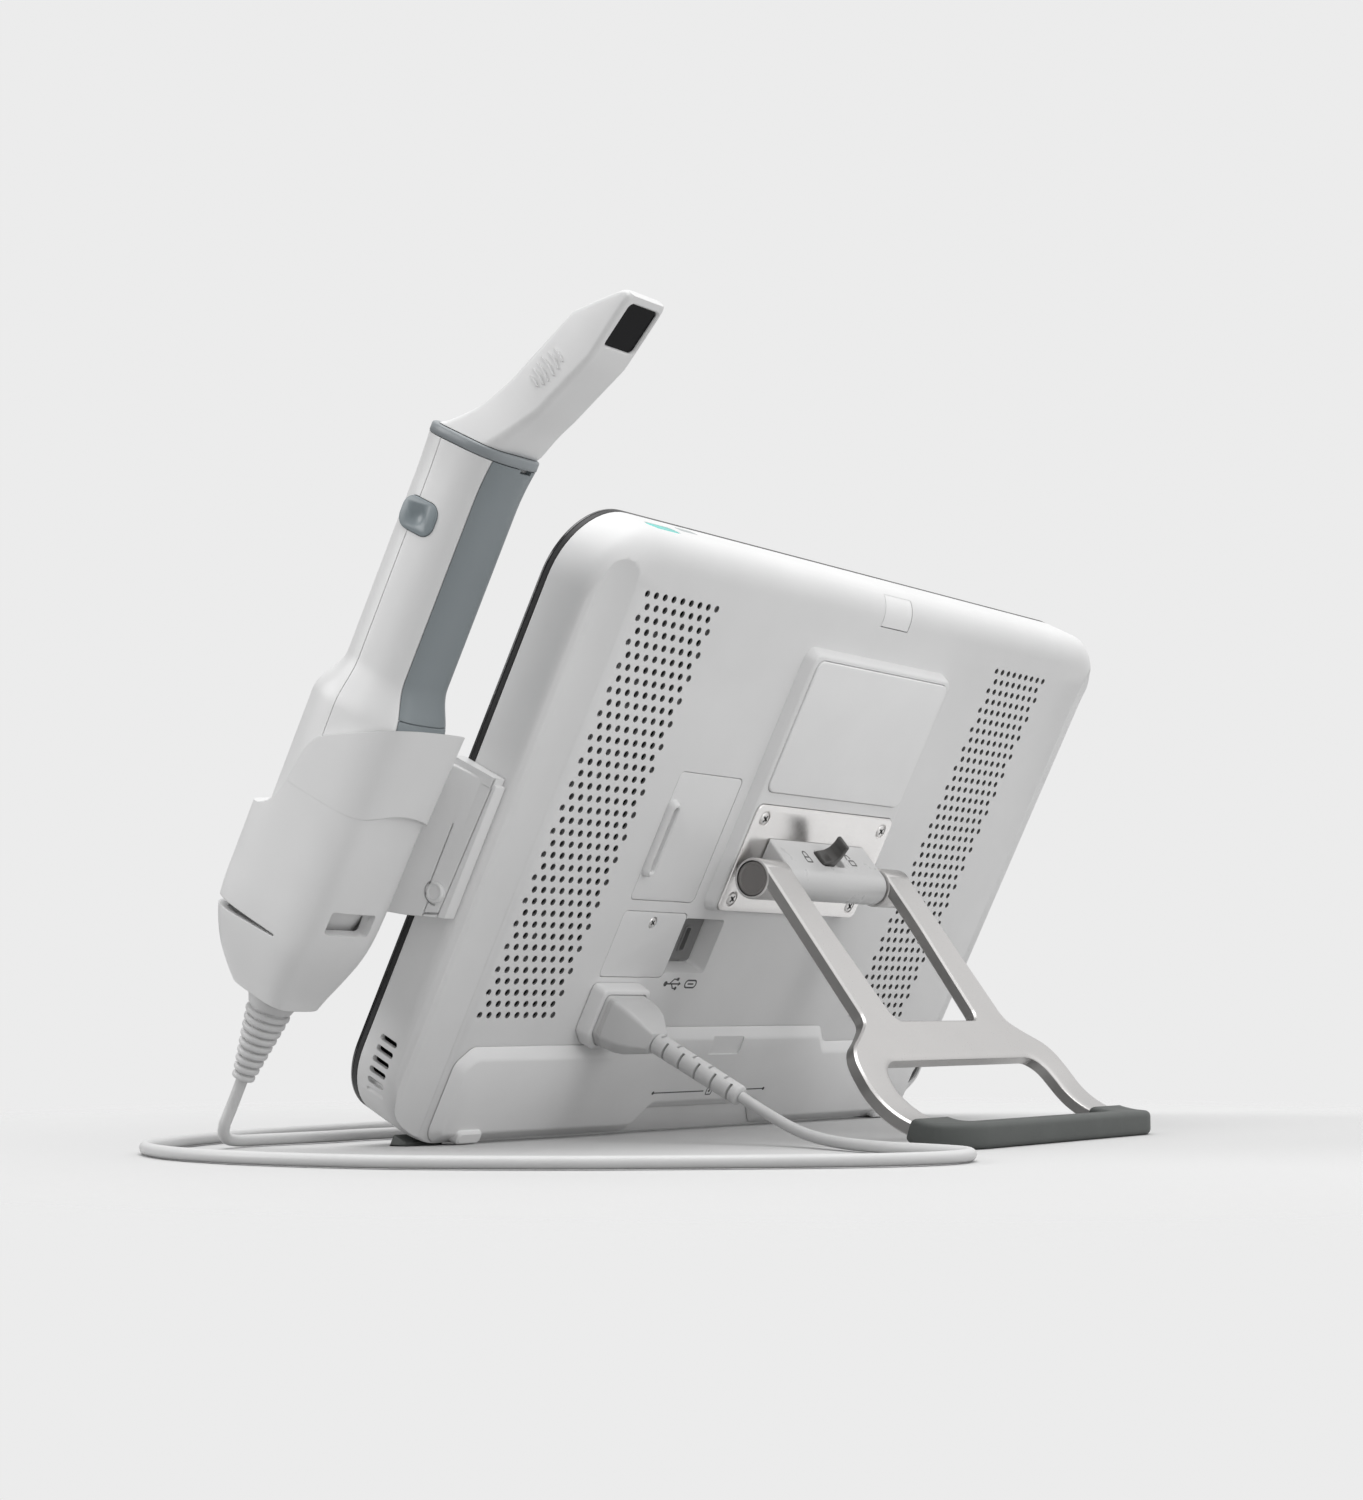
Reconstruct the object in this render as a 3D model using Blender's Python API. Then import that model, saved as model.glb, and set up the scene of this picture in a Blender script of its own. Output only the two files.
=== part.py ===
"""Intraoral scanner: a tilted display unit on a folding stand, with a wand in a side cradle.

Lengths are millimetres until MM turns them into metres. The unit frame has X along the
width, Y out of the back (called depth) and Z up along the back, and leans by LEAN.
"""
import math

import bmesh
import bpy
from mathutils import Matrix, Vector
from mathutils.geometry import tessellate_polygon

MM = 0.001
GAP = 0.3                 # clearance between pieces that touch
EMBED = 1.0               # how far a union reaches into its neighbour
BEYOND = 30.0             # how far a cutter runs past what it cuts

# Display unit
LEAN = math.radians(26.96)
HALF_WIDTH = 220.0
HEIGHT = 280.0
FRONT = -33.0             # depth of the glass face; the back plane is depth 0
GLASS_THICK = 1.6
BEZEL_FRONT = FRONT + GLASS_THICK + GAP
HOUSING_FRONT = -28.5
CORNER_R = 33.0
EDGE_START = -12.0        # depth where the back edge begins to round over
EDGE_INSET = 14.0
BOTTOM_SHARE = 0.1        # the bottom edge rounds over by this share of the inset
WALL = 2.6
SCREEN_MARGIN = 17.0
PANEL_THICK = 5.0

# Hand scoop along each side of the back: (distance in from the side, depth)
SCOOP = ((0.0, -8.0), (3.8, -5.6), (8.5, -6.4), (13.5, -5.0), (18.0, -2.4), (21.5, 0.0))
SCOOP_TOP = HEIGHT - 5.0
SCOOP_NOSE = 32.0
SCOOP_FLOOR = -7.0

# Perforated air fields
VENT_PITCH = 12.5
VENT_ROW = 13.35
VENT_PER_ROW = 5
VENT_R = 3.0
VENT_TOP = HEIGHT - 25.6
VENT_LOW = 62.0
VENT_LEFT = HALF_WIDTH - 29.3
VENT_RIGHT = 112.5 - HALF_WIDTH
SIDE_SLOTS = 6
SIDE_SLOT_PITCH = 4.9
SIDE_SLOT_TOP = 41.4
SIDE_SLOT_W = 2.6
SIDE_SLOT_DEPTHS = (-22.0, -12.2)

# Raised pad with its square cover and the hinge plate
BOSS_HALF = 63.2
BOSS_LOW = 116.0
BOSS_HIGH = HEIGHT - 32.5
BOSS_RISE = 5.4
BOSS_SLOPE = 5.0
COVER_HALF = 58.2
COVER_LOW = 178.3
COVER_HIGH = BOSS_HIGH - 4.5
PLATE_HALF = 59.3
PLATE_LOW = 118.6
PLATE_HIGH = 172.0
SHEET = 2.2
SHEET_RISE = 0.9
SCREW_X = 51.4
SCREW_LOW = 124.9
SCREW_HIGH = 165.3
SCREW_HEAD_R = 3.3
SCREW_HEAD = 1.2
SCREW_SHANK_R = 1.7
SCREW_SHANK = 6.0

# Service door, screwed cover and port recess
DOOR_X = (70.9, 119.1)
DOOR_Z = (119.1, 180.6)
DOOR_THICK = 2.0
DOOR_BAY = -13.0
PULL_Z = (131.0, 161.0)
PULL_W = 7.5
PULL_RISE = 3.4
PORT_COVER_X = (70.9, 119.1)
PORT_COVER_Z = (81.2, 113.4)
PORT_SCREW = (95.0, 108.2)
PORT_SCREW_R = 2.6
PORT_X = (39.7, 70.3)
PORT_Z = (83.8, 111.3)
PORT_FLOOR = -10.5
PORT_SLOTS = ((63.5, 14.0), (53.5, 11.5))
PORT_SLOT_W = 3.4
BACKING = 2.6

# Inside: board and heat sink, placed from the right edge of the left air field
BOARD_X = (-250.7, -60.7)
BOARD_Z = (66.0, HEIGHT - 30.0)
BOARD_THICK = 1.6
CHIP_RISE = 4.0
CHIPS = ((50.0, 190.0, 34.0, 34.0), (100.0, 200.0, 22.0, 40.0),
         (150.0, 120.0, 30.0, 30.0), (170.0, 200.0, 40.0, 14.0))
SINK_X = (-56.7, 5.3)
SINK_Z = (70.0, HEIGHT - 34.0)
SINK_BASE = 3.0
FIN_PITCH = 8.0
FIN_TALL = 15.0
FIN_THICK = 1.6

# Battery pack in the lower back
PACK_HALF = HALF_WIDTH - 25.0
PACK_LOW = 2.15
PACK_SIDE_TOP = 47.4
PACK_MID_TOP = 56.2
PACK_MID_HALF = 82.0
PACK_STEP = 8.5
PACK_RISE = 4.0
PACK_CHAMFER = 5.0
PACK_BODY = -20.0
PACK_BODY_MARGIN = 9.0
PACK_BODY_LOW = 15.5
GRIP_TOP_HALF = 42.0
GRIP_LOW_HALF = 52.0
GRIP_TOP = 13.5

# Fittings
BUTTON_X = HALF_WIDTH - 42.3
BUTTON_HALF = 10.2
BUTTON_DEPTH = -15.0
BUTTON_HALF_W = 3.6
BUTTON_TALL = 2.4
BUTTON_TRAVEL = 0.8
INLET_X = 14.0 - HALF_WIDTH
INLET_Z = 24.0
INLET_R = 9.0
INLET_FLOOR = -17.0
TAB_HALF = 12.0
TAB_THICK = 1.6
PAD_X = (HALF_WIDTH - 44.0, HALF_WIDTH - 20.0)
PAD_DEPTHS = (-12.0, -4.0)
SOCKET_X = 103.0
SOCKET_HALF = 18.3
SOCKET_Z = (47.9, 79.0)
SOCKET_CHAMFER = 7.0
SOCKET_RISE = 7.5
SOCKET_WALL = 4.6
SOCKET_FLOOR = 1.5

# Folding stand: hinge axis in the unit frame, then lengths along and across the legs
HINGE_DEPTH = 19.7
HINGE_Z = 141.0
STAND_OPEN = math.radians(63.96)      # from hanging straight down the back
EYE_R = 9.4
EYE_PROUD = 0.25
LEG_THICK = 6.0
LEG_OUTER = 63.5
LEG_INNER = 42.7
LEG_PARALLEL = 28.0       # length beside the barrel where the inner edge stays straight
RAIL_OUTER = 94.6
WEB_TOP = 86.5
WEB_LOW = 108.5
WINDOW_HALF_TOP = 36.5
WINDOW_HALF = 70.5
FOOT_RADIUS = 48.0
FOOT_FLAT = 8.0
FOOT_BAR = 11.0
FOOT_HEIGHT = 11.0
RUBBER = 2.4
RUBBER_ARM = 24.0
FOOT_CORNER = 19.0
BARREL_R = 10.0
BARREL_HALF = 42.0
BARREL_TILT = math.radians(36.0)
PIN_R = 4.0
CAP_R = 7.9
CAP_THICK = 2.5
LEVER_SLOT = (10.0, 4.2)
LEVER_DEEP = 3.5
LEVER_WIDE = 7.2
LEVER_SHIFT = 3.2

# Wand: axis in the unit frame, half sizes across (X), to the front and to the back
WAND_X = HALF_WIDTH + 40.0
WAND_DEPTH = -50.0
WAND_HALF = 17.5
WAND_FRONT = 21.0
WAND_BACK = 20.2
HIP_HALF = 21.2
HIP_FRONT = 30.6
HIP_BACK = 26.0
WAND_TOP = 285.7
WAND_LOW = 50.0
HIP_TOP = 171.0
NECK_LOW = 192.0
SQUARE = 3.0              # exponent of the rounded-square sections
SHELL_SPLIT = -7.0
STRIP_INSET = 3.2
STRIP_LOW = 166.0
COLLAR_THICK = 4.2
SIDE_BUTTON_Z = WAND_TOP - 31.7
SIDE_BUTTON_Y = -4.0
SIDE_BUTTON_HALF = (9.5, 6.8)
SIDE_BUTTON_DEEP = 2.4
SIDE_BUTTON_PROUD = 0.7
SIDE_BUTTON_TRAVEL = 0.6
CUP_CLEAR = 0.4
CUP_WALL = 2.8
CUP_LOW = 47.0
CUP_POWER = 4.0
CUP_FRONT_SWELL = 1.5
CUP_MOUTH = ((-140.0, 116.5), (-80.0, 119.5), (-71.0, 122.5), (-65.5, 128.5), (-62.5, 138.0), (-61.0, 149.5),
             (-58.5, 155.0), (-52.0, 160.4), (-15.0, 178.5), (20.0, 195.7), (20.0, 240.0), (-140.0, 240.0))
CUP_WINDOW = ((-7.5, 16.5), (86.5, 96.6))
RELIEF_TOP_R = 10.6
RELIEF_LOW = 7.5
RELIEF_RIBS = 9
RELIEF_RIB_R = (9.5, 4.9)
BRACKET_Z = (92.0, 163.0)
# Plan of the bracket: share of the way from the side wall to the cup, and depth
BRACKET_PLAN = ((0.0, -8.6), (0.0, -40.0), (0.4, -45.0), (0.667, -48.6), (0.893, -48.0), (1.0, -44.0), (1.0, -40.0),
                (0.827, -36.0), (0.667, -34.0), (0.44, -13.0), (0.2, -8.6))
BRACKET_BUTTON = (-22.5, 107.0)

# Cord
CORD_R = 2.5
PLUG_Z = 64.3
PLUG_LONG = 21.5
PLUG_RELIEF = 52.0
PLUG_RELIEF_R = (5.0, 4.0)
CORD_POINTS = 80

# Places of the rest point under the middle of the whole object
SHIFT_X = 32.1
SHIFT_Y = 80.8


def clear_scene():
    for item in list(bpy.data.objects):
        bpy.data.objects.remove(item, do_unlink=True)


def make_material(name, colour, roughness, metallic=0.0):
    material = bpy.data.materials.new(name)
    material.use_nodes = True
    shader = material.node_tree.nodes["Principled BSDF"]
    shader.inputs["Base Color"].default_value = (*colour, 1.0)
    shader.inputs["Roughness"].default_value = roughness
    shader.inputs["Metallic"].default_value = metallic
    material.diffuse_color = (*colour, 1.0)
    return material


def empty(name, location, tilt, parent=None):
    """A frame at a place given in millimetres, turned about X."""
    frame = bpy.data.objects.new(name, None)
    bpy.context.collection.objects.link(frame)
    frame.location = Vector(location) * MM
    frame.rotation_euler = (tilt, 0.0, 0.0)
    frame.parent = parent
    return frame


# Solids

def finish_mesh(name, bm):
    bmesh.ops.remove_doubles(bm, verts=bm.verts[:], dist=1e-7)
    bmesh.ops.recalc_face_normals(bm, faces=bm.faces[:])
    mesh = bpy.data.meshes.new(name)
    bm.to_mesh(mesh)
    bm.free()
    return mesh


def solid(name, bm):
    item = bpy.data.objects.new(name, finish_mesh(name, bm))
    bpy.context.collection.objects.link(item)
    return item


def back_view(u, v, h):
    """u across, v up the back, h depth."""
    return (u, h, v)


def side_view(u, v, h):
    """u depth, v up, h across."""
    return (h, u, v)


def plan_view(u, v, h):
    """u across, v depth, h up."""
    return (u, v, h)


def layered(name, levels, view=back_view):
    """Closed solid through levels of (height, loops); the first loop is the outline, the rest are holes."""
    bm = bmesh.new()
    rows = []
    for height, loops in levels:
        rows.append([[bm.verts.new(Vector(view(u, v, height)) * MM) for u, v in loop] for loop in loops])
    for low, high in zip(rows, rows[1:]):
        for ring_low, ring_high in zip(low, high):
            for i in range(len(ring_low)):
                j = (i + 1) % len(ring_low)
                bm.faces.new((ring_low[i], ring_low[j], ring_high[j], ring_high[i]))
    for (height, loops), row in ((levels[0], rows[0]), (levels[-1], rows[-1])):
        flat = [vert for ring in row for vert in ring]
        outline = [[Vector((u, v, 0.0)) for u, v in loop] for loop in loops]
        for triangle in tessellate_polygon(outline):
            bm.faces.new([flat[k] for k in triangle])
    return solid(name, bm)


def prism(name, loops, low, high, view=back_view):
    return layered(name, [(low, loops), (high, loops)], view)


def loft(name, rings):
    """Closed solid through rings of 3-D points, with flat ends."""
    bm = bmesh.new()
    rows = [[bm.verts.new(Vector(point) * MM) for point in ring] for ring in rings]
    for low, high in zip(rows, rows[1:]):
        for i in range(len(low)):
            j = (i + 1) % len(low)
            bm.faces.new((low[i], low[j], high[j], high[i]))
    bm.faces.new(rows[0])
    bm.faces.new(rows[-1])
    return solid(name, bm)


def turned(name, profile, place, segments=24):
    """Solid of revolution; profile holds (distance along, radius), place maps (along, side, up)."""
    rings = []
    for along, radius in profile:
        turns = [2.0 * math.pi * k / segments for k in range(segments)]
        rings.append([place(along, radius * math.cos(t), radius * math.sin(t)) for t in turns])
    return loft(name, rings)


def across_axis(centre_depth, centre_z, centre_x=0.0):
    return lambda along, side, up: (centre_x + along, centre_depth + side, centre_z + up)


def depth_axis(centre_x, centre_z):
    return lambda along, side, up: (centre_x + side, along, centre_z + up)


def up_axis(centre_x, centre_depth):
    return lambda along, side, up: (centre_x + side, centre_depth + up, along)


def box(name, xs, depths, zs):
    outline = [(xs[0], zs[0]), (xs[1], zs[0]), (xs[1], zs[1]), (xs[0], zs[1])]
    return prism(name, [outline], depths[0], depths[1])


def combine(item, tools, operation):
    """Boolean of an object with each tool in turn; the tools are used up."""
    for tool in tools:
        modifier = item.modifiers.new("boolean", "BOOLEAN")
        modifier.operation = operation
        modifier.solver = "EXACT"
        modifier.object = tool
        bpy.context.view_layer.update()
        graph = bpy.context.evaluated_depsgraph_get()
        mesh = bpy.data.meshes.new_from_object(item.evaluated_get(graph))
        item.modifiers.clear()
        item.data = mesh
        bpy.data.objects.remove(tool, do_unlink=True)
        tidy(item)
    return item


def tidy(item):
    bm = bmesh.new()
    bm.from_mesh(item.data)
    bmesh.ops.remove_doubles(bm, verts=bm.verts[:], dist=2e-6)
    bmesh.ops.dissolve_degenerate(bm, edges=bm.edges[:], dist=2e-6)
    bm.to_mesh(item.data)
    bm.free()


def cut(item, *tools):
    return combine(item, tools, "DIFFERENCE")


def join(item, *tools):
    return combine(item, tools, "UNION")


def keep(item, tool):
    return combine(item, [tool], "INTERSECT")


def finish(item, material, parent, origin=(0.0, 0.0, 0.0), sharp=32.0):
    """Material, shading, parent, and the origin moved to a point of the parent's frame."""
    item.data.materials.clear()
    item.data.materials.append(material)
    item.data.transform(Matrix.Translation(-Vector(origin) * MM))
    item.data.shade_smooth()
    item.data.set_sharp_from_angle(angle=math.radians(sharp))
    item.parent = parent
    item.location = Vector(origin) * MM
    return item


# Outlines

def rounded(xs, zs, radius, steps=4):
    """Rectangle with round corners; radius may be one value or four from the lower left round."""
    radii = radius if isinstance(radius, tuple) else (radius,) * 4
    corners = ((xs[0], zs[0], 1, 1, 180), (xs[1], zs[0], -1, 1, 270), (xs[1], zs[1], -1, -1, 0),
               (xs[0], zs[1], 1, -1, 90))
    points = []
    for (x, z, sx, sz, start), r in zip(corners, radii):
        for k in range(steps + 1):
            angle = math.radians(start + 90.0 * k / steps)
            points.append((x + sx * r + r * math.cos(angle), z + sz * r + r * math.sin(angle)))
    return points


def circle(centre, radius, count):
    return [(centre[0] + radius * math.cos(2 * math.pi * k / count),
             centre[1] + radius * math.sin(2 * math.pi * k / count)) for k in range(count)]


def inset(points, distance):
    """Outline moved inward by a distance, corners mitred; points run anticlockwise."""
    moved = []
    count = len(points)
    for i in range(count):
        before = Vector(points[i - 1])
        here = Vector(points[i])
        after = Vector(points[(i + 1) % count])
        first = (here - before).normalized()
        second = (after - here).normalized()
        n1 = Vector((-first.y, first.x))
        n2 = Vector((-second.y, second.x))
        step = (n1 + n2) * (distance / max(0.35, 1.0 + n1.dot(n2)))
        moved.append(tuple(here + step))
    return moved


def egg(centre, half, front, back, count=24, power=SQUARE):
    """Rounded-square section in plan: half width, reach to the front and reach to the back."""
    points = []
    for k in range(count):
        turn = 2.0 * math.pi * (k + 0.5) / count
        c = math.cos(turn)
        s = math.sin(turn)
        reach = back if s > 0 else front
        points.append((centre[0] + half * math.copysign(abs(c) ** (2.0 / power), c),
                       centre[1] + reach * math.copysign(abs(s) ** (2.0 / power), s)))
    return points


def mirrored(points):
    return [(-x, z) for x, z in reversed(points)]


# Display unit

def housing_outline(edge):
    """Plan of the unit, with its sides and top moved in by edge."""
    radius = max(CORNER_R - edge, 8.0)
    half = HALF_WIDTH - edge
    return rounded((-half, half), (edge * BOTTOM_SHARE, HEIGHT - edge), radius, 6)


def scoop_cutter(side):
    """Long hollow beside one edge, whose depth fades out in a round nose at the top."""
    rings = []
    levels = [-BEYOND, SCOOP_TOP - SCOOP_NOSE]
    levels += [SCOOP_TOP - SCOOP_NOSE + SCOOP_NOSE * math.sin(math.radians(15.0 * k)) for k in range(1, 6)]
    levels.append(SCOOP_TOP - 0.3)
    for z in levels:
        share = max(0.0, (z - SCOOP_TOP + SCOOP_NOSE) / SCOOP_NOSE)
        fade = math.sqrt(max(0.0, 1.0 - share * share))
        far = SCOOP[-1][0] * (0.55 + 0.45 * fade)
        ring = [(HALF_WIDTH + 6.0, 6.0), (HALF_WIDTH + 6.0, SCOOP[0][1] - 3.0 + (1 - fade) * 10.0)]
        for inward, depth in SCOOP:
            ring.append((HALF_WIDTH - inward * far / SCOOP[-1][0], depth * fade + (1 - fade) * 1.0))
        ring.append((HALF_WIDTH - far, 6.0))
        rings.append([(side * x, depth, z) for x, depth in ring])
    return loft("scoop", rings)


def vent_holes(left_edge):
    """Round holes in alternating rows of VENT_PER_ROW and one fewer."""
    tools = []
    for row in range(int((VENT_TOP - VENT_LOW) / VENT_ROW) + 1):
        count = VENT_PER_ROW - row % 2
        z = VENT_TOP - row * VENT_ROW
        start = left_edge - (row % 2) * VENT_PITCH / 2
        tools += [(start - k * VENT_PITCH, z) for k in range(count)]
    return tools


def plate_with_tools(name, places, radius, count, low, high):
    """Many equal pegs in one object, for one cut."""
    bm = bmesh.new()
    for centre in places:
        ring = circle(centre, radius, count)
        lower = [bm.verts.new(Vector(back_view(u, v, low)) * MM) for u, v in ring]
        upper = [bm.verts.new(Vector(back_view(u, v, high)) * MM) for u, v in ring]
        for i in range(count):
            j = (i + 1) % count
            bm.faces.new((lower[i], lower[j], upper[j], upper[i]))
        bm.faces.new(lower)
        bm.faces.new(upper)
    return solid(name, bm)


def rear_housing(material, unit):
    """Moulded tray with a hand scoop, air fields, bays and the raised pad."""
    levels = [(HOUSING_FRONT, [housing_outline(0.0)])]
    for k in range(5):
        turn = math.radians(90.0 * k / 4)
        edge = EDGE_INSET * (1.0 - math.cos(turn))
        levels.append((EDGE_START - EDGE_START * math.sin(turn), [housing_outline(edge)]))
    housing = layered("rear_housing", levels)
    cut(housing, scoop_cutter(1), scoop_cutter(-1))

    wide = rounded((-HALF_WIDTH + WALL, HALF_WIDTH - WALL), (WALL, HEIGHT - WALL), CORNER_R - WALL, 6)
    deep_half = HALF_WIDTH - SCOOP[-1][0] - WALL
    deep = rounded((-deep_half, deep_half), (WALL * 2, HEIGHT - EDGE_INSET - WALL), CORNER_R - WALL, 6)
    step = SCOOP_FLOOR - WALL
    cavity = layered("cavity", [(HOUSING_FRONT - BEYOND, [wide]), (step, [wide]), (step, [deep]), (-WALL, [deep])])
    cut(housing, cavity)

    pad_low = rounded((-BOSS_HALF, BOSS_HALF), (BOSS_LOW, BOSS_HIGH), 7.0)
    pad_high = inset(pad_low, BOSS_SLOPE / 2)
    pad = layered("pad", [(-EMBED, [pad_low]), (0.0, [pad_low]), (BOSS_RISE, [pad_high])])
    backing = -WALL + GAP
    blocks = [
        box("door_bay", (DOOR_X[0] - BACKING, DOOR_X[1] + BACKING),
            (DOOR_BAY - BACKING, backing), (DOOR_Z[0] - BACKING, DOOR_Z[1] + BACKING)),
        box("port_bay", (PORT_X[0] - BACKING, PORT_COVER_X[1] + BACKING),
            (PORT_FLOOR - BACKING, backing), (PORT_COVER_Z[0] - BACKING, PORT_COVER_Z[1] + BACKING)),
        box("button_seat", (BUTTON_X - BUTTON_HALF - BACKING, BUTTON_X + BUTTON_HALF + BACKING),
            (BUTTON_DEPTH - BUTTON_HALF_W - BACKING, BUTTON_DEPTH + BUTTON_HALF_W + BACKING),
            (HEIGHT - 9.0, HEIGHT - WALL + EMBED)),
        turned("inlet_seat", [(INLET_FLOOR - BACKING, INLET_R + BACKING), (SCOOP_FLOOR - 1.0, INLET_R + BACKING)],
               depth_axis(INLET_X, INLET_Z), 20),
    ]
    join(housing, pad, *blocks)

    holes = plate_with_tools("vents", vent_holes(VENT_LEFT) + vent_holes(VENT_RIGHT), VENT_R, 6,
                             -WALL - EMBED, EMBED)
    cut(housing, holes)
    tools = [
        prism("door_seat", [rounded((DOOR_X[0] - GAP, DOOR_X[1] + GAP), (DOOR_Z[0] - GAP, DOOR_Z[1] + GAP), 3.0)],
              -DOOR_THICK - GAP, EMBED),
        box("door_hollow", (DOOR_X[0] + 3.0, DOOR_X[1] - 3.0), (DOOR_BAY, 0.0), (DOOR_Z[0] + 3.0, DOOR_Z[1] - 3.0)),
        prism("port_seat", [rounded((PORT_COVER_X[0] - GAP, PORT_COVER_X[1] + GAP),
                                    (PORT_COVER_Z[0] - GAP, PORT_COVER_Z[1] + GAP), 3.0)],
              -DOOR_THICK - GAP, EMBED),
        turned("port_screw_hole", [(-DOOR_THICK - 5.0, 1.5), (0.0, 1.5)], depth_axis(*PORT_SCREW), 12),
        port_recess(),
        pack_bay(),
        prism("cover_seat", [rounded((-COVER_HALF - GAP, COVER_HALF + GAP), (COVER_LOW - GAP, COVER_HIGH + GAP), 5.0)],
              BOSS_RISE + SHEET_RISE - SHEET - GAP, BOSS_RISE + BEYOND),
        prism("plate_seat", [rounded((-PLATE_HALF - GAP, PLATE_HALF + GAP), (PLATE_LOW - GAP, PLATE_HIGH + GAP), 4.0)],
              BOSS_RISE + SHEET_RISE - SHEET - GAP, BOSS_RISE + BEYOND),
        button_tool("button_hole", GAP, BUTTON_TALL + BUTTON_TRAVEL + GAP, BEYOND),
        turned("inlet_hole", [(INLET_FLOOR, INLET_R), (BEYOND, INLET_R)], depth_axis(INLET_X, INLET_Z), 20),
        tab_solid("tab_seat", GAP, 0.0),
    ]
    tools += [turned("screw_hole", [(-WALL - EMBED, SCREW_SHANK_R + GAP), (BOSS_RISE, SCREW_SHANK_R + GAP)],
                     depth_axis(x, z), 10) for x, z in screw_places()]
    for k in range(SIDE_SLOTS):
        z = SIDE_SLOT_TOP - k * SIDE_SLOT_PITCH
        outline = rounded(SIDE_SLOT_DEPTHS, (z - SIDE_SLOT_W / 2, z + SIDE_SLOT_W / 2), SIDE_SLOT_W / 2 - 0.01, 2)
        tools.append(prism("side_slot", [outline], HALF_WIDTH - WALL - EMBED, HALF_WIDTH + EMBED, side_view))
    cut(housing, *tools)
    return finish(housing, material, unit)


def screw_places():
    return [(x, z) for z in (SCREW_HIGH, SCREW_LOW) for x in (SCREW_X, -SCREW_X)]


def port_recess():
    """Pocket with sloping walls beside the screwed cover."""
    mouth = rounded((PORT_X[0], PORT_X[1] + EMBED), PORT_Z, 2.0)
    floor = rounded((PORT_X[0] + 3.0, PORT_X[1] + EMBED), (PORT_Z[0] + 2.0, PORT_Z[1] - 1.0), 2.0)
    return layered("port_recess", [(PORT_FLOOR, [floor]), (0.0, [mouth]), (EMBED, [mouth])])


def button_tool(name, spare, deep, above):
    outline = rounded((BUTTON_X - BUTTON_HALF - spare, BUTTON_X + BUTTON_HALF + spare),
                      (BUTTON_DEPTH - BUTTON_HALF_W - spare, BUTTON_DEPTH + BUTTON_HALF_W + spare),
                      BUTTON_HALF_W + spare - 0.01, 5)
    return prism(name, [outline], HEIGHT - deep, HEIGHT + above, plan_view)


def pack_outline():
    """Back view of the battery pack: a step in its top edge and a finger notch below."""
    mid = PACK_MID_HALF
    right = [(GRIP_LOW_HALF, PACK_LOW), (PACK_HALF - 4.0, PACK_LOW), (PACK_HALF, PACK_LOW + 5.0),
             (PACK_HALF, PACK_SIDE_TOP - 8.0), (PACK_HALF - 8.0, PACK_SIDE_TOP),
             (mid + PACK_STEP, PACK_SIDE_TOP), (mid, PACK_MID_TOP)]
    return [(GRIP_TOP_HALF, GRIP_TOP)] + right + mirrored(right) + [(-GRIP_TOP_HALF, GRIP_TOP)]


def pack_bay():
    half = PACK_HALF - PACK_BODY_MARGIN + GAP
    return box("pack_bay", (-half, half), (PACK_BODY - BEYOND, BEYOND),
               (PACK_BODY_LOW - GAP, PACK_SIDE_TOP - PACK_BODY_MARGIN + GAP))


def battery_pack(material, unit):
    """Sloped lid with a finger notch, on the block that fills the bay."""
    outline = pack_outline()
    lid = layered("battery_pack", [(GAP, [outline]), (PACK_RISE, [inset(outline, PACK_CHAMFER)])])
    half = PACK_HALF - PACK_BODY_MARGIN
    body = box("pack_body", (-half, half), (PACK_BODY, PACK_RISE - EMBED * 2),
               (PACK_BODY_LOW, PACK_SIDE_TOP - PACK_BODY_MARGIN))
    join(lid, body)
    cut(lid, box("label", (-17.0, 17.0), (PACK_RISE - 0.6, BEYOND), (42.9, 51.0)))
    return finish(lid, material, unit)


def tab_solid(name, spare, sink):
    """Insert that follows the rounded top edge of the back."""
    profile_out = []
    profile_in = []
    for k in range(5):
        turn = math.radians(22.0 + 50.0 * k / 4)
        depth = EDGE_START * (1.0 - math.sin(turn))
        z = HEIGHT - EDGE_INSET * (1.0 - math.cos(turn))
        normal = Vector((math.sin(turn) / -EDGE_START, math.cos(turn) / EDGE_INSET)).normalized()
        out = 3.0 if spare else -sink
        deep = TAB_THICK + spare
        profile_out.append((depth + normal.x * out, z + normal.y * out))
        profile_in.append((depth - normal.x * deep, z - normal.y * deep))
    outline = profile_out + profile_in[::-1]
    half = TAB_HALF + spare
    return prism(name, [outline], -half, half, side_view)


def front_pieces(glass_black, panel_black, bezel_black, unit):
    glass = prism("display_glass", [housing_outline(0.0)], FRONT, FRONT + GLASS_THICK)
    finish(glass, glass_black, unit)
    margin = SCREEN_MARGIN
    window = rounded((-HALF_WIDTH + margin, HALF_WIDTH - margin), (margin, HEIGHT - margin), 3.0)
    bezel = prism("front_bezel", [housing_outline(0.0), window], BEZEL_FRONT, HOUSING_FRONT - GAP)
    finish(bezel, bezel_black, unit)
    screen = inset(window, GAP)
    panel = prism("display_panel", [screen], BEZEL_FRONT, BEZEL_FRONT + PANEL_THICK)
    finish(panel, panel_black, unit)


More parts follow.
